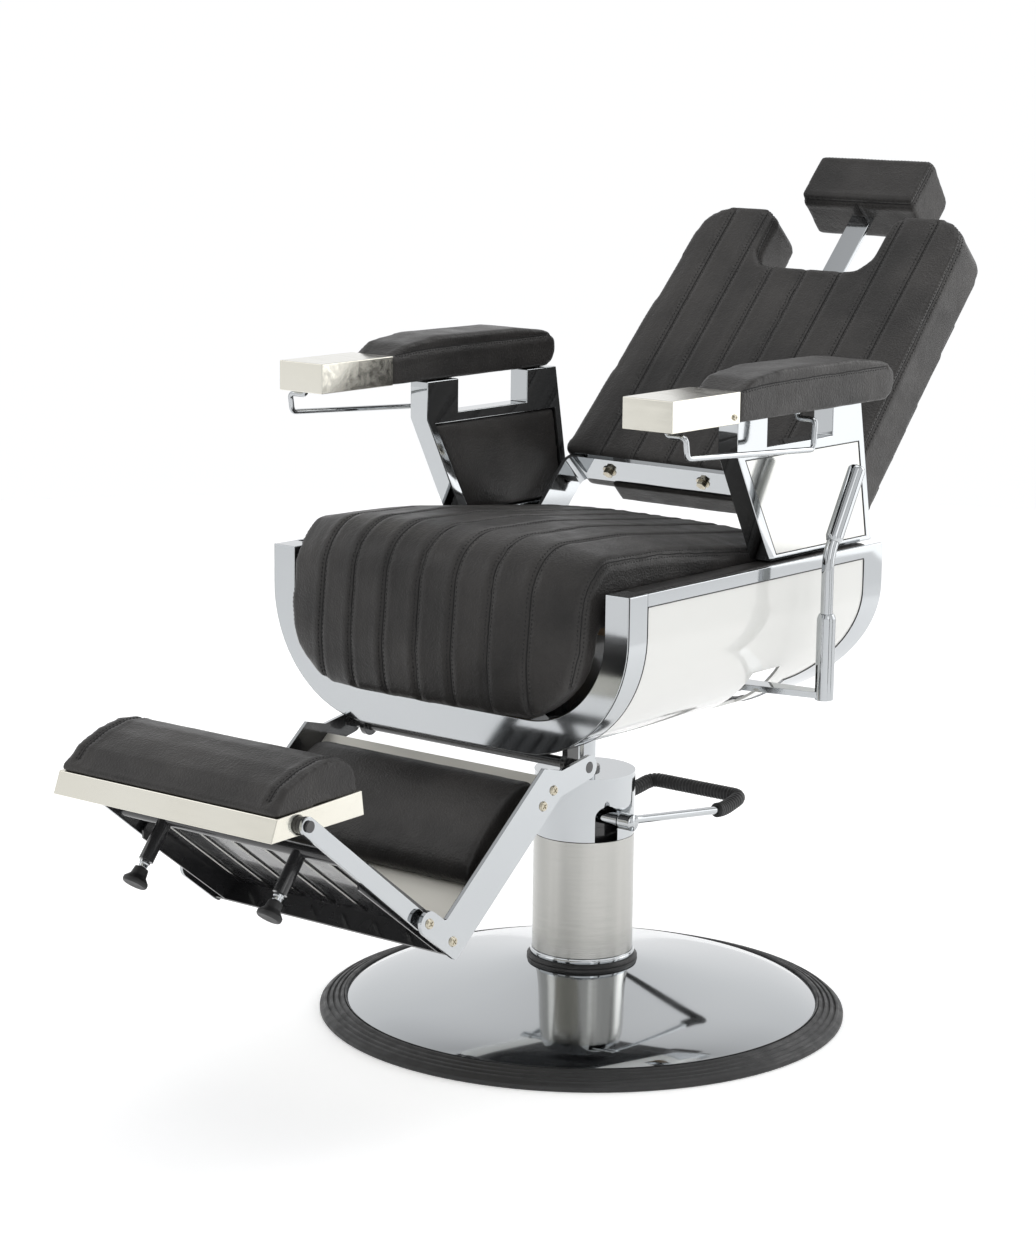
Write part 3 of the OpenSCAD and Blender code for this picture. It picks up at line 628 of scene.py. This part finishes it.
def beside(tree, path, offset, sink=0.0):
    """The path moved sideways along the surface by offset millimetres: (points, normals)."""
    ahead = np.gradient(path, axis=0)
    ahead /= np.maximum(np.linalg.norm(ahead, axis=1, keepdims=True), 1e-9)
    points, normals = [], []
    for place, along in zip(path, ahead):
        _, normal, _, _ = tree.find_nearest(Vector(place))
        side = Vector(along).cross(normal)
        hit, normal, _, _ = tree.find_nearest(Vector(place) + side * offset * MM)
        points.append(hit - normal * sink * MM)
        normals.append(normal)
    return np.array([tuple(p) for p in points]), np.array([tuple(n) for n in normals])


def smoothstep(value, low, high):
    t = np.clip((value - low) / (high - low), 0, 1)
    return t * t * (3 - 2 * t)


class Axes:
    """Axes turned about X, as the backrest and the leg rest have. Local coordinates are in millimetres."""

    def __init__(self, y=0.0, z=0.0, degrees=0.0):
        turn = math.radians(degrees)
        self.origin = np.array([0, y, z]) * MM
        cos, sin = math.cos(turn), math.sin(turn)
        self.turn = np.array([[1, 0, 0], [0, cos, -sin], [0, sin, cos]])

    def local(self, points):
        return (np.asarray(points) - self.origin) @ self.turn / MM

    def world(self, points):
        return np.asarray(points, float) * MM @ self.turn.T + self.origin

    def local_direction(self, directions):
        return np.asarray(directions) @ self.turn

    def world_direction(self, directions):
        return np.asarray(directions, float) @ self.turn.T


WORLD = Axes()
BACK = Axes(240, 706, -44)
LEG = Axes(-333, 418.7, 39.5)
ARM = Axes(-544, 272, -38.08)

CLOTH_FRAMES = 20


class Cushion:
    """A padded piece: a CAD soft solid remeshed, puffed by cloth pressure between its seams, then sewn."""

    def __init__(self, node, voxel, rounds, cap, pressure, pinned, axes=WORLD, shape=None):
        self.node, self.axes, self.cap = node, axes, cap
        mesh = soft_mesh(node, voxel, rounds)
        if shape:
            put_coords(mesh, axes.world(shape(axes.local(coords_of(mesh)))))
        self.mesh = mesh
        self.rest = coords_of(mesh)
        weights = pinned(axes.local(self.rest), axes.local_direction(normals_of(mesh)))
        self.object = None
        self.object = bpy.data.objects.new(node + "_work", mesh)
        bpy.context.scene.collection.objects.link(self.object)
        group = self.object.vertex_groups.new(name="held")
        steps = np.round(weights * 10).astype(int)
        for level in range(1, 11):
            group.add(np.nonzero(steps == level)[0].tolist(), level / 10, "REPLACE")
        cloth = self.object.modifiers.new("cloth", "CLOTH")
        settings = cloth.settings
        settings.quality = 5
        settings.mass = 0.25
        settings.tension_stiffness = 12
        settings.compression_stiffness = 12
        settings.shear_stiffness = 6
        settings.bending_stiffness = 0.4
        settings.air_damping = 2
        settings.use_pressure = True
        settings.uniform_pressure_force = pressure
        settings.vertex_group_mass = "held"
        settings.pin_stiffness = 4
        settings.effector_weights.gravity = 0
        cloth.collision_settings.use_collision = False
        cloth.point_cache.frame_start = 1
        cloth.point_cache.frame_end = CLOTH_FRAMES

    def settle(self):
        """Takes the cloth's result, with the motion of each point capped."""
        if self.object is None:
            return
        result = applied(self.object)
        moved = coords_of(result) - self.rest
        reach = np.linalg.norm(moved, axis=1, keepdims=True)
        limit = self.cap * MM
        self.rest = self.rest + moved * np.minimum(1, limit / np.maximum(reach, 1e-9)) * np.minimum(
            1, 1.2 - 0.2 * np.minimum(reach / limit, 1)
        )
        bpy.data.objects.remove(self.object)
        self.object = None
        put_coords(self.mesh, self.rest)

    def finish(self, seams=(), levels=1, soften=2, deep=2.4, wide=3.6, rows=(-4.2, 4.2), creases=1.0):
        """Subdivides the shape, presses its seams in, makes the piece, and sews the seams.

        seams gives rays, in local millimetres, that meet the surface along each seam.
        """
        mesh = with_modifier(self.mesh, "SMOOTH", factor=0.5, iterations=soften)
        for _ in range(levels):
            mesh = subdivided(mesh)
        tree = surface_tree(mesh)
        paths = [path for rays in seams for path in cast_paths(tree, rays, self.axes)]
        if paths:
            every = np.concatenate(paths)
            near = KDTree(len(every))
            for i, place in enumerate(every):
                near.insert(place, i)
            near.balance()
            points, normals = coords_of(mesh), normals_of(mesh)
            reach = np.array([near.find(Vector(p))[2] for p in points]) / MM
            depth = deep * bell(reach, wide) - 0.7 * bell(reach - 3 * wide, wide * 1.4)
            put_coords(mesh, points - normals * depth[:, None] * MM)
        for polygon in mesh.polygons:
            polygon.use_smooth = True
        mesh = with_modifier(
            mesh, "DISPLACE", texture=CREASES, texture_coords="LOCAL", strength=creases * MM, mid_level=0.5
        )
        obj = piece(self.node + "_cover", mesh, self.node)
        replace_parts(obj, self.node)
        if paths:
            tree = surface_tree(mesh)
            threads = [thread_of(beside(tree, path, offset)) for path in paths for offset in rows]
            piece(self.node + "_stitches", mesh_from("stitches", *joined(threads)), self.node, THREAD)
            # Thin near-black bars sunk into each seam's fold: painted shadow of the crease.
            painted_shades = []
            for path in paths:
                line, _ = beside(tree, path, 0, sink=0.15)
                line[1:-1] = (line[:-2] + 2 * line[1:-1] + line[2:]) / 4
                painted_shades.append(sweep(line, 0.75 * MM, 6))
            piece(self.node + "_seam_painted_shades", mesh_from("painted_shades", *joined(painted_shades)), self.node, SEAM_SHADE)
        return obj


CREASES = bpy.data.textures.new("creases", "CLOUDS")
CREASES.noise_scale = 0.045
CREASES.noise_depth = 2


def run_cloth(cushions):
    """Steps every cloth once through its frames."""
    scene = bpy.context.scene
    for frame_number in range(1, CLOTH_FRAMES + 1):
        scene.frame_set(frame_number)
    for item in cushions:
        item.settle()
    scene.frame_set(1)


def nearest_seam(values, seams):
    return np.min(np.abs(values[:, None] - np.asarray(seams)[None, :]), axis=1)


def inset_rays(tree, rays, axes, depth, out):
    """Rays from the side, along X, at a profile set in by depth from where the rays meet the surface."""
    found = []
    for start, direction in rays:
        aim = Vector(axes.world_direction(direction))
        hit, normal, _, _ = tree.ray_cast(Vector(axes.world(start)), aim)
        if hit is not None:
            place, facing = axes.local(tuple(hit)), axes.local_direction(tuple(normal))
            facing[0] = 0
            facing /= max(np.linalg.norm(facing), 1e-9)
            place = place - facing * depth
            found.append(((out, place[1], place[2]), (-math.copysign(1, out), 0, 0)))
    return found


# --- seat ---

SEAT_SEAMS = [-166.5, -111, -55.5, 0, 55.5, 111, 166.5]
SEAT_HALF = 236


def seat_shape(p):
    """Crowns the top across its width and rounds the front in plan."""
    x, y, z = p.T
    across = np.abs(x) / SEAT_HALF
    top = smoothstep(z, 600, 660)
    front = smoothstep(-y, 250, 320)
    p = p.copy()
    p[:, 2] -= 17 * across**3.2 * top
    p[:, 1] += front * (20 * across**3 - 8 * (1 - across**2))
    return p


def seat_pins(p, n):
    seams = bell(nearest_seam(p[:, 0], SEAT_SEAMS), 4.5)
    hidden = np.maximum(smoothstep(np.abs(n[:, 0]), 0.4, 0.7), smoothstep(-n[:, 2], 0.3, 0.6))
    rear = np.maximum(smoothstep(n[:, 1], 0.4, 0.7), smoothstep(p[:, 1], 120, 140))
    return np.clip(np.maximum(np.maximum(seams, hidden), rear), 0, 1)


seat = Cushion("seat_cushion", 6, 8, cap=6, pressure=5, shape=seat_shape, pinned=seat_pins)

# --- backrest ---

BACK_SEAMS = [-171, -114, -57, 0, 57, 114, 171]


def back_pins(p, n):
    seams = bell(nearest_seam(p[:, 0], BACK_SEAMS), 4.5) * smoothstep(-n[:, 1], 0.2, 0.5)
    rear = smoothstep(p[:, 1], 62, 74)
    edge = smoothstep(np.hypot(n[:, 0], n[:, 2]), 0.5, 0.9) * 0.35
    return np.clip(np.maximum(np.maximum(seams, rear), edge), 0, 1)


back = Cushion("back_cushion", 5, 6, cap=6, pressure=4.5, axes=BACK, pinned=back_pins)

# --- headrest ---


def head_pins(p, n):
    return np.clip(0.25 + 0.75 * smoothstep(p[:, 1], 84, 98), 0, 1)


head = Cushion("headrest_cushion", 3.5, 4, cap=5, pressure=5, axes=BACK, pinned=head_pins)

# --- arm pads ---


def pad_pins(p, n):
    sides = 0.6 * smoothstep(np.abs(n[:, 0]), 0.7, 0.95) + 0.5 * smoothstep(n[:, 1], 0.7, 0.95)
    return np.clip(smoothstep(-n[:, 2], 0.3, 0.7) + smoothstep(-p[:, 1], 92, 108) + sides + 0.1, 0, 1)


pads = Cushion("arm_pads", 4, 4, cap=4, pressure=4, pinned=pad_pins)

# --- calf pad and footrest pad ---


def calf_pins(p, n):
    ends = smoothstep(np.abs(n[:, 0]), 0.6, 0.9)
    return np.clip(smoothstep(-n[:, 2], 0.2, 0.6) + ends + 0.08, 0, 1)


calf = Cushion("calf_pad", 4.5, 4, cap=4, pressure=4, axes=LEG, pinned=calf_pins)


def foot_pins(p, n):
    ends = smoothstep(np.abs(n[:, 0]), 0.5, 0.8)
    return np.clip(smoothstep(-n[:, 2], 0.2, 0.6) + smoothstep(446 - p[:, 2], 0, 6) + ends + 0.15, 0, 1)


def foot_shape(p):
    """Spreads the pad's lower edge over the tray's rim."""
    x, y, z = p.T
    low = 1 - smoothstep(z, 444, 456)
    p = p.copy()
    p[:, 0] += np.sign(x) * 3.2 * low * smoothstep(np.abs(x), 120, 165)
    p[:, 1] += (smoothstep(y, -665, -640) - 1.4 * smoothstep(-y, 735, 770)) * 3.0 * low
    p[:, 2] -= 1.8 * low
    return p


foot = Cushion("footrest_pad", 3.5, 3, cap=4, pressure=3, shape=foot_shape, pinned=foot_pins)

# --- flat upholstery: arm panels, liners and the back's rear board ---


def edge_pins(p, n):
    return np.clip(1 - smoothstep(np.abs(n[:, 0]), 0.6, 0.9), 0, 1)


panels = Cushion("arm_inner_panels", 4, 3, cap=4, pressure=3, pinned=edge_pins)
liners = Cushion("side_liners", 5, 4, cap=3, pressure=3, pinned=edge_pins)


def board_pins(p, n):
    return np.clip(1 - smoothstep(n[:, 1], 0.6, 0.9), 0, 1)


board = Cushion("back_board", 2.8, 2, cap=3, pressure=3, axes=BACK, pinned=board_pins)

run_cloth([seat, back, head, pads, calf, foot, panels, liners, board])


def seat_rays(x):
    """Rays in to the seat cushion along a line at x, from the rear, over the crest and down the front."""
    rays = [((x, y, 760), (0, 0, -1)) for y in range(144, -261, -4)]
    for k in range(1, 23):
        turn = math.radians(90 + 90 * k / 22)
        out = (math.cos(turn), math.sin(turn))
        rays.append(((x, -262 + out[0] * 160, 618 + out[1] * 160), (0, -out[0], -out[1])))
    return rays + [((x, -430, z), (0, 1, 0)) for z in range(614, 474, -4)]


seat_tree = surface_tree(seat.mesh)
seat_seams = [seat_rays(x) for x in SEAT_SEAMS]
seat_seams += [inset_rays(seat_tree, seat_rays(side * 214), WORLD, 9, side * 400) for side in (-1, 1)]
seat.finish(seat_seams)


def outline_rays(outline, depth, reach=60):
    """Rays in towards a closed outline (x, s) at a depth, square to it."""
    rays = []
    points = np.array(outline, float)
    for i, place in enumerate(points):
        along = points[(i + 1) % len(points)] - points[i - 1]
        inward = np.array([-along[1], along[0]]) / max(np.linalg.norm(along), 1e-9)
        start = place - inward * reach
        rays.append(((start[0], depth, start[1]), (inward[0], 0, inward[1])))
    return rays


def arc_points(x, s, radius, first, last):
    return [
        (x + radius * math.cos(math.radians(a)), s + radius * math.sin(math.radians(a)))
        for a in np.linspace(first, last, 7)
    ]


def closed_route(corners, step=4.0):
    """A closed outline with points a step apart."""
    route = even_route([(x, s, 0) for x, s in corners + corners[:1]], step)
    return [tuple(p[:2]) for p in route[:-1]]


BACK_OUTLINE = closed_route(
    [(-235, 12), (-227, 1), (227, 1), (235, 12)]
    + arc_points(174, 414, 46, 4, 90)
    + arc_points(119, 440, 20, 90, 180)
    + arc_points(63, 391, 34, 0, -90)
    + arc_points(-63, 391, 34, -90, -180)
    + arc_points(-119, 440, 20, 0, 90)
    + arc_points(-174, 414, 46, 90, 176)
)
back_seams = []
for x in BACK_SEAMS:
    top = 456 if abs(x) > 90 else 356
    back_seams.append([((x, -80, up), (0, 1, 0)) for up in np.arange(3, top, 3)])
back_seams.append([ray for ray in outline_rays(BACK_OUTLINE, 9) if ray[0][2] > -40])
back.finish(back_seams)

HEAD_OUTLINE = closed_route(
    arc_points(-80, 519, 13, 180, 270) + arc_points(80, 519, 13, 270, 360) + arc_points(80, 573, 13, 0, 90)
    + arc_points(-80, 573, 13, 90, 180),
    3.0,
)
head_seams = [outline_rays(HEAD_OUTLINE, 30), [((0, d, 460), (0, 0, 1)) for d in range(34, 54, 2)]]
head.finish(head_seams, deep=1.6, wide=3.4)


def pad_line(y):
    """Height of an arm pad's side seam."""
    return 870 - 5 * min(1, max(0, (-y - 10) / 100)) ** 2


PAD_X = 278
pad_seams = []
for side in (-1, 1):
    for out in (-1, 1):
        start = side * PAD_X + out * side * 80
        pad_seams.append([((start, y, pad_line(y)), (-out * side, 0, 0)) for y in range(-108, 216, 4)])
    rear = [((side * PAD_X + 32 * k, 330, pad_line(200)), (0, -1, 0)) for k in np.linspace(-1, 1, 17)]
    pad_seams.append(rear)
pads.finish(pad_seams, deep=1.4, wide=3.2, rows=(2.6,))
calf.finish(creases=1.4)
foot_seams = [[((side * 152, y, 560), (0, 0, -1)) for y in range(-768, -640, 3)] for side in (-1, 1)]
foot.finish(foot_seams, deep=1.3, wide=2.8, rows=(-3.4, 3.4))
panels.finish()
liners.finish()
board.finish(levels=0)

# ---------- metalwork ----------

# Each node with its edges' width in millimetres and, where they differ, the bevel's segments and least angle.
EDGES = [
    ("base_ring", 0.6, 2, 20),
    ("column_gasket", 0.4, 2, 20),
    ("column_collar", 0.5),
    ("column_sleeve", 0.7),
    ("column_shroud", 0.8),
    ("rod_gland", 1.2),
    ("piston_rod", 0.8),
    ("seat_hub", 1.0),
    ("front_frame", 1.4, 3),
    ("side_trims", 0.8),
    ("side_panels", 0.6),
    ("arm_frames", 1.2),
    ("arm_outer_panels", 0.6),
    ("arm_caps", 1.6, 3),
    ("arm_screws", 0.2),
    ("back_bracket", 1.0),
    ("back_bolts", 0.4),
    ("headrest_bar", 0.9),
    ("leg_plates", 0.9),
    ("leg_panel", 0.6),
    ("leg_screws", 0.25),
    ("foot_platform", 0.8),
    ("platform_ribs", 0.6),
    ("lower_pins", 0.5),
    ("footrest_arms", 0.9),
    ("cross_bar", 0.5),
    ("support_posts", 0.8),
    ("support_feet", 0.8, 3, 20),
    ("upper_pins", 0.8),
    ("footrest_tray", 1.0, 3),
    ("lever_arm", 0.8),
    ("lever_tube", 0.8),
    ("lever_grip", 0.5),
    ("leg_hinges", 0.6),
]
finished = {edge[0]: bevelled(*edge) for edge in EDGES}
finished["leg_panel"].data.materials[0] = apron_material()

for name, obj in nodes.items():
    obj.data.materials.clear()
    obj.data.materials.append(MATERIALS[SLOT_OF[name]])


def wire(name, node, parts):
    """A piece of swept bars: parts are (route, radius, bend radius, step), all in millimetres."""
    meshes = []
    for corners, radius, bend, step in parts:
        route = even_route([Vector(c) * MM for c in round_route(corners, bend)], step * MM)
        meshes.append(sweep(route, radius * MM, 24))
    points, faces = joined(meshes)
    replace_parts(piece(name, mesh_from(name, points, faces), node), node)


def inner_dark_film(node):
    """Black film on the faces of the side plates that look in towards the middle of the chair: partly black
    paint under the chrome, partly a painted dark reflection of the shaded plate across.
    """
    mesh = welded(node)
    points = coords_of(mesh)
    inward = []
    for polygon in mesh.polygons:
        x = points[polygon.vertices[0]][0]
        if polygon.normal[0] * x < -0.9 * abs(x):
            inward.append(tuple(polygon.vertices))
    used = sorted({i for face in inward for i in face})
    place = {old: new for new, old in enumerate(used)}
    skin = points[used].copy()
    skin[:, 0] -= np.sign(skin[:, 0]) * 0.05 * MM
    faces = [tuple(place[i] for i in face) for face in inward]
    shell = mesh_from(node + "_inner_paint_and_dark_reflection", skin, faces, smooth=False)
    shell = with_modifier(shell, "SOLIDIFY", thickness=0.25 * MM, offset=1.0)
    piece(node + "_inner_paint_and_dark_reflection", shell, node, MATERIALS["black_metal"], "black_metal")


def lathed(node, profile, sides=256):
    """A turned piece from a closed profile of (radius, height) in millimetres."""
    turns = np.arange(sides) * 2 * math.pi / sides
    points = [(r * math.cos(t) * MM, r * math.sin(t) * MM, z * MM) for r, z in profile for t in turns]
    mesh = mesh_from(node + "_turned", points, ring_faces(len(profile), sides, closed=True))
    mesh.set_sharp_from_angle(angle=math.radians(28))
    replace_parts(piece(node + "_turned", mesh, node), node)


def dome_profile():
    """The spun dome as (radius, height): a rounded shoulder, then a low cone up to the column's seat."""
    rim, mouth, low, rise, shoulder = 314, 74, 18, 52, 0.2
    top = []
    for i in range(61):
        t = (i / 60) ** 1.5
        lift = (1 - shoulder) * t + shoulder * (1 - (1 - t) ** 9)
        top.append((rim - (rim - mouth) * t, low + rise * lift))
    under = [(r - 1.2, z - 3) for r, z in reversed(top)]
    return [(rim, 10.5)] + top + [(54, low + rise), (54, low + rise - 3)] + under + [(rim - 3, 10.5)]


lathed("base_dome", dome_profile())


def added(name, bars, node, slot):
    """A small piece of swept bars that stands on a CAD node and replaces nothing."""
    piece(name, mesh_from(name, *joined(bars)), node, MATERIALS[slot], slot)


# Painted highlights: thin polished lines along the edges of the foot platform's pressed ribs.
RIB_PITCH = 52
RIB_HALF = 1.5
rib_highlights = []
for i in range(-3, 4):
    for x in (i * RIB_PITCH - RIB_HALF, i * RIB_PITCH + RIB_HALF):
        line = LEG.world([(x, -231.4 + (29.4 + z) * -0.2365, z) for z in range(-29, 130, 6)])
        rib_highlights.append(sweep(line, 0.55 * MM, 6))
added("platform_rib_highlights", rib_highlights, "foot_platform", "polished_steel")

# The nut and the threads above each support foot.
NUT_RINGS = 6
stud_radii = [(6.6 if k < NUT_RINGS else 5.1 + 0.5 * (k % 2)) * MM for k in range(14)]
stud_lines = []
for side in (-1, 1):
    line = ARM.world([(side * 108, -158, -57 - 0.6 * k) for k in range(14)])
    stud_lines.append(sweep(line, 0, 20, ribs=stud_radii))
added("foot_studs", stud_lines, "support_posts", "chrome")

# Black film on the plates' inward faces: black paint and a painted dark reflection.
inner_dark_film("leg_plates")
inner_dark_film("footrest_arms")

towel_parts = []
for side in (-1, 1):
    corners = [(290, -228, 826), (290, -228, 820), (318, -228, 820), (318, -224, 795)]
    corners += [(318, 42, 780), (318, 46, 817), (290, 46, 817), (290, 46, 826)]
    towel_parts.append(([(side * x, y, z) for x, y, z in corners], 3.6, 7, 2))
wire("towel_bars_bent", "towel_bars", towel_parts)

LEVER_Y, LEVER_Z = -28, 277
near_arm = [(92, LEVER_Y, LEVER_Z), (92, LEVER_Y + 20, LEVER_Z - 1), (79, 207, 247), (76, 254, 256)]
loop = near_arm + [(-x, y, z) for x, y, z in reversed(near_arm)]
wire(
    "pump_lever_bent",
    "pump_lever",
    [
        (loop, 5.5, 15, 4),
        ([(-100, LEVER_Y, LEVER_Z), (0, LEVER_Y, LEVER_Z), (100, LEVER_Y, LEVER_Z)], 9, 20, 8),
        ([(82, LEVER_Y, LEVER_Z), (92, LEVER_Y, LEVER_Z), (103, LEVER_Y, LEVER_Z)], 11, 4, 3),
        ([(-82, LEVER_Y, LEVER_Z), (-92, LEVER_Y, LEVER_Z), (-103, LEVER_Y, LEVER_Z)], 11, 4, 3),
    ],
)

near_grip = [(80.0, 190, 249.3)] + near_arm[2:]
grip_corners = near_grip + [(-x, y, z) for x, y, z in reversed(near_grip)]
grip_route = even_route([Vector(c) * MM for c in round_route(grip_corners, 15, 12)], 0.9 * MM)
rib_profile = [10.0, 10.0, 9.9, 9.3, 9.0, 9.3]
radii = [rib_profile[i % len(rib_profile)] * MM for i in range(len(grip_route))]
radii[0] = radii[-1] = 8.6 * MM
points, faces = sweep(grip_route, 0, 28, ribs=radii)
grip = piece("pump_grip_ribbed", mesh_from("pump_grip_ribbed", points, faces), "pump_grip")
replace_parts(grip, "pump_grip")

rod = [(335, 58, 540), (335, 58, 646), (335, 108, 732.6)]
wire("lever_rod_bent", "lever_rod", [(rod, 7.9, 18, 3)])


def bead(name, node, route, radius):
    """A thin dark bead along a route given in millimetres, on both sides of the chair."""
    bars = []
    for side in (-1, 1):
        line = even_route([Vector((x * side, y, z)) * MM for x, y, z in route], 4 * MM)
        bars.append(sweep(line, radius * MM, 8))
    added(name, bars, node, "black_rubber")


# The tub's lower corner in section: the middle of its arc, and the radius of its skin.
TUB_X, TUB_Z, TUB_SKIN = 125, 582, 161.5


def tub_skin(z):
    """Half width of the tub's skin at a height."""
    below = max(TUB_Z - z, 0)
    return TUB_X + math.sqrt(max(TUB_SKIN**2 - below**2, 0))


def tub_corner(y, first, last, radius=TUB_SKIN):
    """Points round the tub's lower corner, between two angles."""
    turns = [math.radians(a) for a in np.linspace(first, last, 24)]
    return [(TUB_X + radius * math.cos(a), y, TUB_Z + radius * math.sin(a)) for a in turns]


panel_edge = tub_corner(-253.8, -81, 0)
panel_edge += [(286.5, -253.8, 616.8), (286.5, 215.7, 616.8), (286.5, 215.7, 600)]
for a in np.linspace(0, -88, 24):
    z = 570 + 105.7 * math.sin(math.radians(a))
    panel_edge.append((tub_skin(z), 110 + 105.7 * math.cos(math.radians(a)), z))
panel_edge += [(tub_skin(z), 113, z) for z in np.linspace(462, 424, 10)]
bead("panel_beads", "side_panels", panel_edge, 0.9)
frame_edge = [(286.6, -290.6, 632.8)] + tub_corner(-290.6, 0, -90, 161.6) + [(0, -290.6, 420.4)]
bead("frame_bead", "front_frame", frame_edge, 0.9)
arm_corners = [(-29.7, 767.8), (225.8, 767.8), (249.7, 641.2), (43, 641.2), (-29.7, 767.8)]
bead("arm_panel_beads", "arm_outer_panels", [(266.4, y, z) for y, z in arm_corners], 0.7)

make_stage()
make_camera()
